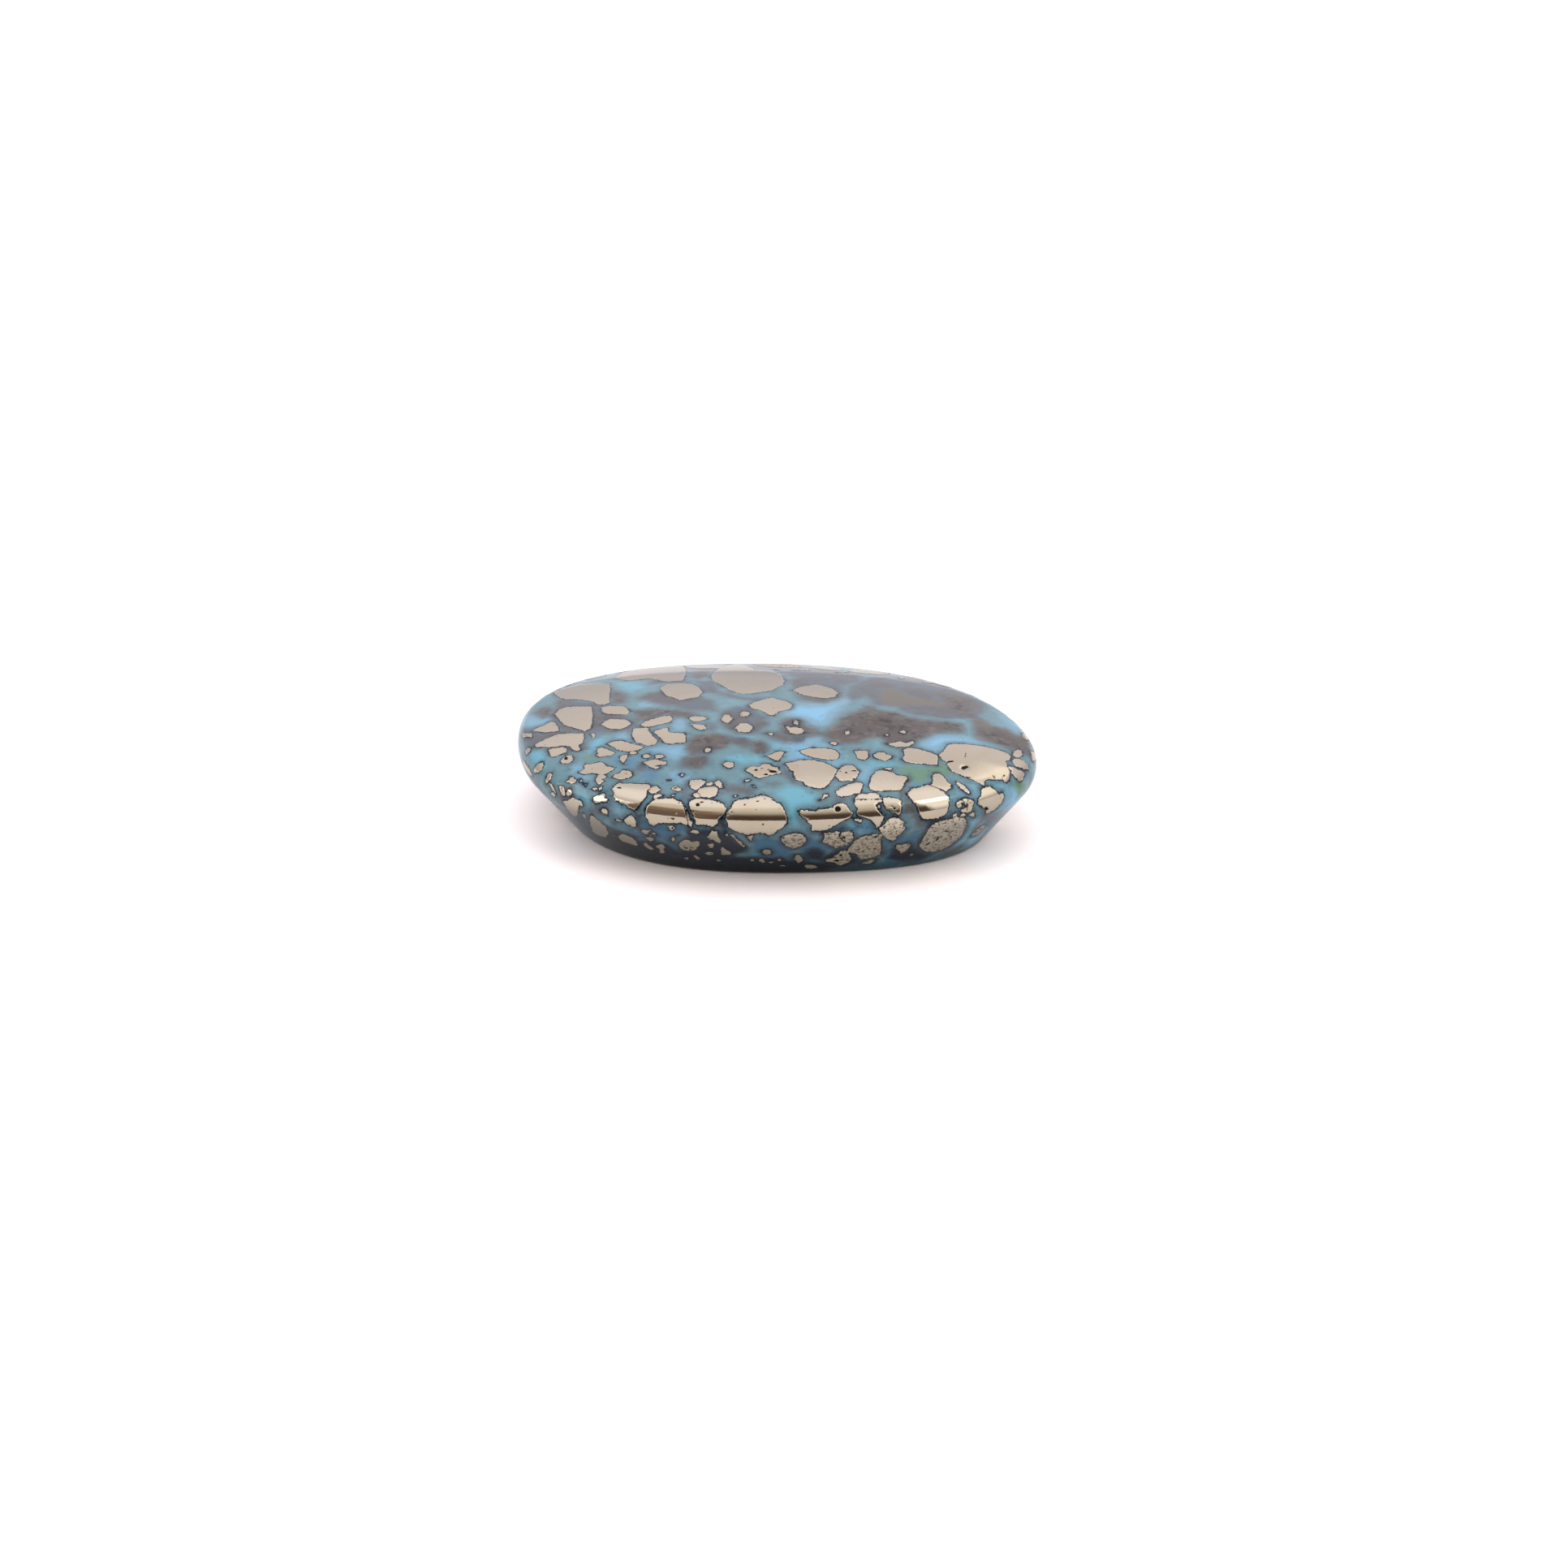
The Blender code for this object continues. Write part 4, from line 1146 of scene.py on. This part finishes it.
def makeFinish(look):
    material = bpy.data.materials.new("turquoiseAndPyrite")
    material.use_nodes = True
    sheet = NodeSheet(material.node_tree)
    place = sheet.add("VectorMath", {"operation": "SCALE"},
                      {0: sheet.add("TexCoord", out="Object"), "Scale": 1000.0})

    def cloud(scale, detail=3.0, rough=0.5, warp=0.0, shift=0.0):
        moved = sheet.add("VectorMath", {"operation": "ADD"}, {0: place, 1: (shift, shift * 1.7, shift * 0.6)})
        return sheet.add("TexNoise", None, {"Vector": moved, "Scale": scale, "Detail": detail,
                                            "Roughness": rough, "Distortion": warp})

    def grains(scale, feature="F1", out="Distance", shift=0.0, jitter=1.0):
        moved = sheet.add("VectorMath", {"operation": "ADD"}, {0: place, 1: (shift, shift, shift)})
        return sheet.add("TexVoronoi", {"feature": feature},
                         {"Vector": moved, "Scale": scale, "Randomness": jitter}, out=out)

    wide = cloud(0.22, 4, 0.6, 0.6)
    medium = cloud(0.9, 4, 0.55, 0.3, 11)
    fine = cloud(4.0, 4, 0.6, 0, 23)
    torn = 0.16 + 0.34 * sheet.rise(cloud(0.8, 2, 0.5, 0, 83), 0.44, 0.58)
    ragged = (cloud(2.8, 5, 0.7, 0.2, 37) - 0.5) * torn + (fine - 0.5) * 0.09
    ragged = ragged + (cloud(7.0, 3, 0.6, 0, 47) - 0.5) * 0.22

    # turquoise and what stains it
    height = sheet.add("SeparateXYZ", None, {0: place}, out="Z")
    along = sheet.add("SeparateXYZ", None, {0: place}, out="X")
    across = sheet.add("SeparateXYZ", None, {0: place}, out="Y")
    low = 1 - sheet.rise(height, 0.8, 6.8)
    tone = 0.55 + (wide - 0.5) * 1.3 + (medium - 0.5) * 0.9 + (fine - 0.5) * 0.25 - low * 0.56
    colour = sheet.blend(look["turquoiseDeep"], look["turquoise"], sheet.rise(tone, 0.0, 0.5))
    colour = sheet.blend(colour, look["turquoiseLight"], sheet.rise(tone, 0.5, 1.0))

    def stain(colour, kind, shade, low, high):   # low and high: millimetres inside the drawn edge
        depth = sheet.field(kind) + (medium - 0.5) * 0.9 + (fine - 0.5) * 0.5
        return sheet.blend(colour, shade, sheet.rise(depth, low, high))

    colour = stain(colour, "cyan", look["cyan"], -0.30, 0.60)
    blue = sheet.blend(look["blue"], look["bluePale"], sheet.rise(height, 4.6, 6.6))
    colour = stain(colour, "blue", blue, -0.30, 0.60)
    colour = stain(colour, "sky", look["sky"], -0.40, 0.30)
    colour = stain(colour, "sky", look["skyBright"], 0.30, 1.00)
    colour = stain(colour, "green", look["green"], -0.35, 0.50)
    colour = stain(colour, "slate", look["slate"], -0.30, 0.45)
    haze = sheet.blend(look["smoke"], look["smokeWarm"], sheet.rise(cloud(0.55, 3, 0.5, 0.5, 91), 0.42, 0.58))
    colour = stain(colour, "smoke", haze, -0.40, 0.60)
    rock = sheet.blend(look["rock"], look["rockPink"], sheet.rise(cloud(1.3, 4, 0.6, 0.4, 51), 0.48, 0.68))
    rock = sheet.blend(rock, look["rockDark"], sheet.rise(cloud(1.1, 5, 0.6, 0.6, 67), 0.52, 0.66))
    colour = stain(colour, "rock", rock, -0.60, 0.50)
    colour = stain(colour, "olive", look["olive"], -0.40, 0.60)

    # thin dark threads of host rock
    thread = cloud(0.42, 5, 0.6, 0.8, 3) - 0.5
    thread = (1 - sheet.rise(thread * thread, 0.0, 0.00006)) * sheet.rise(medium, 0.50, 0.62)
    colour = sheet.blend(colour, look["smoke"], thread * 0.6)

    # painted contact shade: the foot of the wall, where it meets the floor, is almost black
    footShade = 1 - sheet.rise(height + (medium - 0.5) * 2.2, 0.3, 1.5)
    footShade = footShade * (1 - 0.75 * sheet.rise(along, 1.0, 10.0))
    colour = sheet.blend(colour, look["footShade"], footShade * 0.93)

    # plates of pyrite: a thin dark rim, a darker halo, and dark filling where two of them come close
    first, second = sheet.field("platesA"), sheet.field("platesB")
    plateDepth = sheet.most(first, second) + ragged
    plate = sheet.rise(plateDepth, -0.015, 0.020)
    halo = (1 - sheet.rise(0 - plateDepth, 0.04, 0.60)) * sheet.rise(medium + low * 0.3, 0.34, 0.64)
    between = sheet.rise(first, -0.60, -0.02) * sheet.rise(second, -0.60, -0.02)
    colour = sheet.blend(colour, look["slate"], sheet.most(halo * (0.55 + low * 0.3), between * 0.85))
    rim = 1 - sheet.rise(0 - plateDepth, 0.04, 0.11 + 0.12 * sheet.rise(medium, 0.4, 0.7))
    back = sheet.rise(across, -8.0, 6.0)
    colour = sheet.blend(colour, look["rim"], rim * (0.95 - 0.55 * back))
    gritty = sheet.rise(sheet.field("gritty") + ragged, -0.02, 0.05)
    crumb = cloud(4.2, 5, 0.85, 0.3, 71)
    crumbHole = gritty * sheet.rise(crumb, 0.530, 0.580)
    speckSize = grains(1.3, out="Distance", shift=9.0)
    speckPick = sheet.add("SeparateColor", None, {0: grains(1.3, out="Color", shift=9.0)})
    speck = (1 - sheet.rise(speckSize, 0.03, 0.09)) * sheet.rise(speckPick, 0.55, 0.6)
    hollow = sheet.rise(sheet.field("pits") + ragged * 0.5, -0.035, 0.03)
    hollow = sheet.most(hollow, sheet.most(speck * 0.8, crumbHole * 0.9))
    shade = sheet.blend(look["pyrite"], look["pyriteWarm"], sheet.rise(wide + (medium - 0.5) * 0.6, 0.4, 0.75))
    # random tarnish, plus painted shade: plates on the crown's far rim are darkened so that they reflect less light
    tarnishAndFarShade = 0.15 * sheet.rise(fine, 0.6, 0.75) + 0.8 * sheet.rise(across, 5.5, 8.0) * sheet.rise(height, 6.0, 6.8)
    shade = sheet.blend(shade, look["pyriteDull"], tarnishAndFarShade)     # more of it at the crown's far side
    # gritty plates get a brighter metal colour, painted light that lifts their dim reflection of the shaded floor
    shade = sheet.blend(shade, look["pyriteGrittyLit"], gritty)
    shade = sheet.blend(shade, look["hollow"], hollow)
    colour = sheet.blend(colour, shade, plate)
    slateShare = sheet.rise(sheet.field("slate") + (medium - 0.5) * 0.9, -0.30, 0.45)
    # dark places get no gloss; at the foot of the wall this is part of the painted contact shade
    dull = sheet.most(sheet.most(footShade * 0.85, slateShare * (0.25 + low * 0.5)), rim * 0.7)   # too dark there to shine
    metal = sheet.most(plate, dull)

    # polish
    rough = 0.13 + 0.10 * sheet.rise(fine, 0.45, 0.7) + 0.22 * sheet.field("rock") * (1 - plate)
    rough = rough + (0.042 + 0.04 * sheet.rise(medium, 0.5, 0.7) - rough) * plate
    rough = rough + gritty * plate * 0.16
    rough = rough + (0.6 - rough) * sheet.most(hollow * plate, rim * (1 - plate) * 0.5)

    edge = sheet.rise(plateDepth, -0.05, 0.07)
    surfaceHeight = edge * 0.012 - hollow * plate * 0.022 - gritty * plate * crumb * 0.025
    surfaceHeight = surfaceHeight + (fine - 0.5) * 0.0025 + (medium - 0.5) * 0.004 * (1 - plate)
    bump = sheet.add("Bump", None, {"Strength": 1.0, "Distance": 1.0, "Height": surfaceHeight * 0.001}, out="Normal")

    shell = sheet.add("BsdfPrincipled", None, {
        "Base Color": colour, "Metallic": metal, "Roughness": rough, "Normal": bump,
        "IOR": 1.61, "Specular IOR Level": 0.3})
    sheet.add("OutputMaterial", None, {"Surface": shell})
    return material


stone.data.materials.clear()
stone.data.materials.append(makeFinish(finish))
print("finish made")

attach(stone, "root")
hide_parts("turquoise_cabochon")
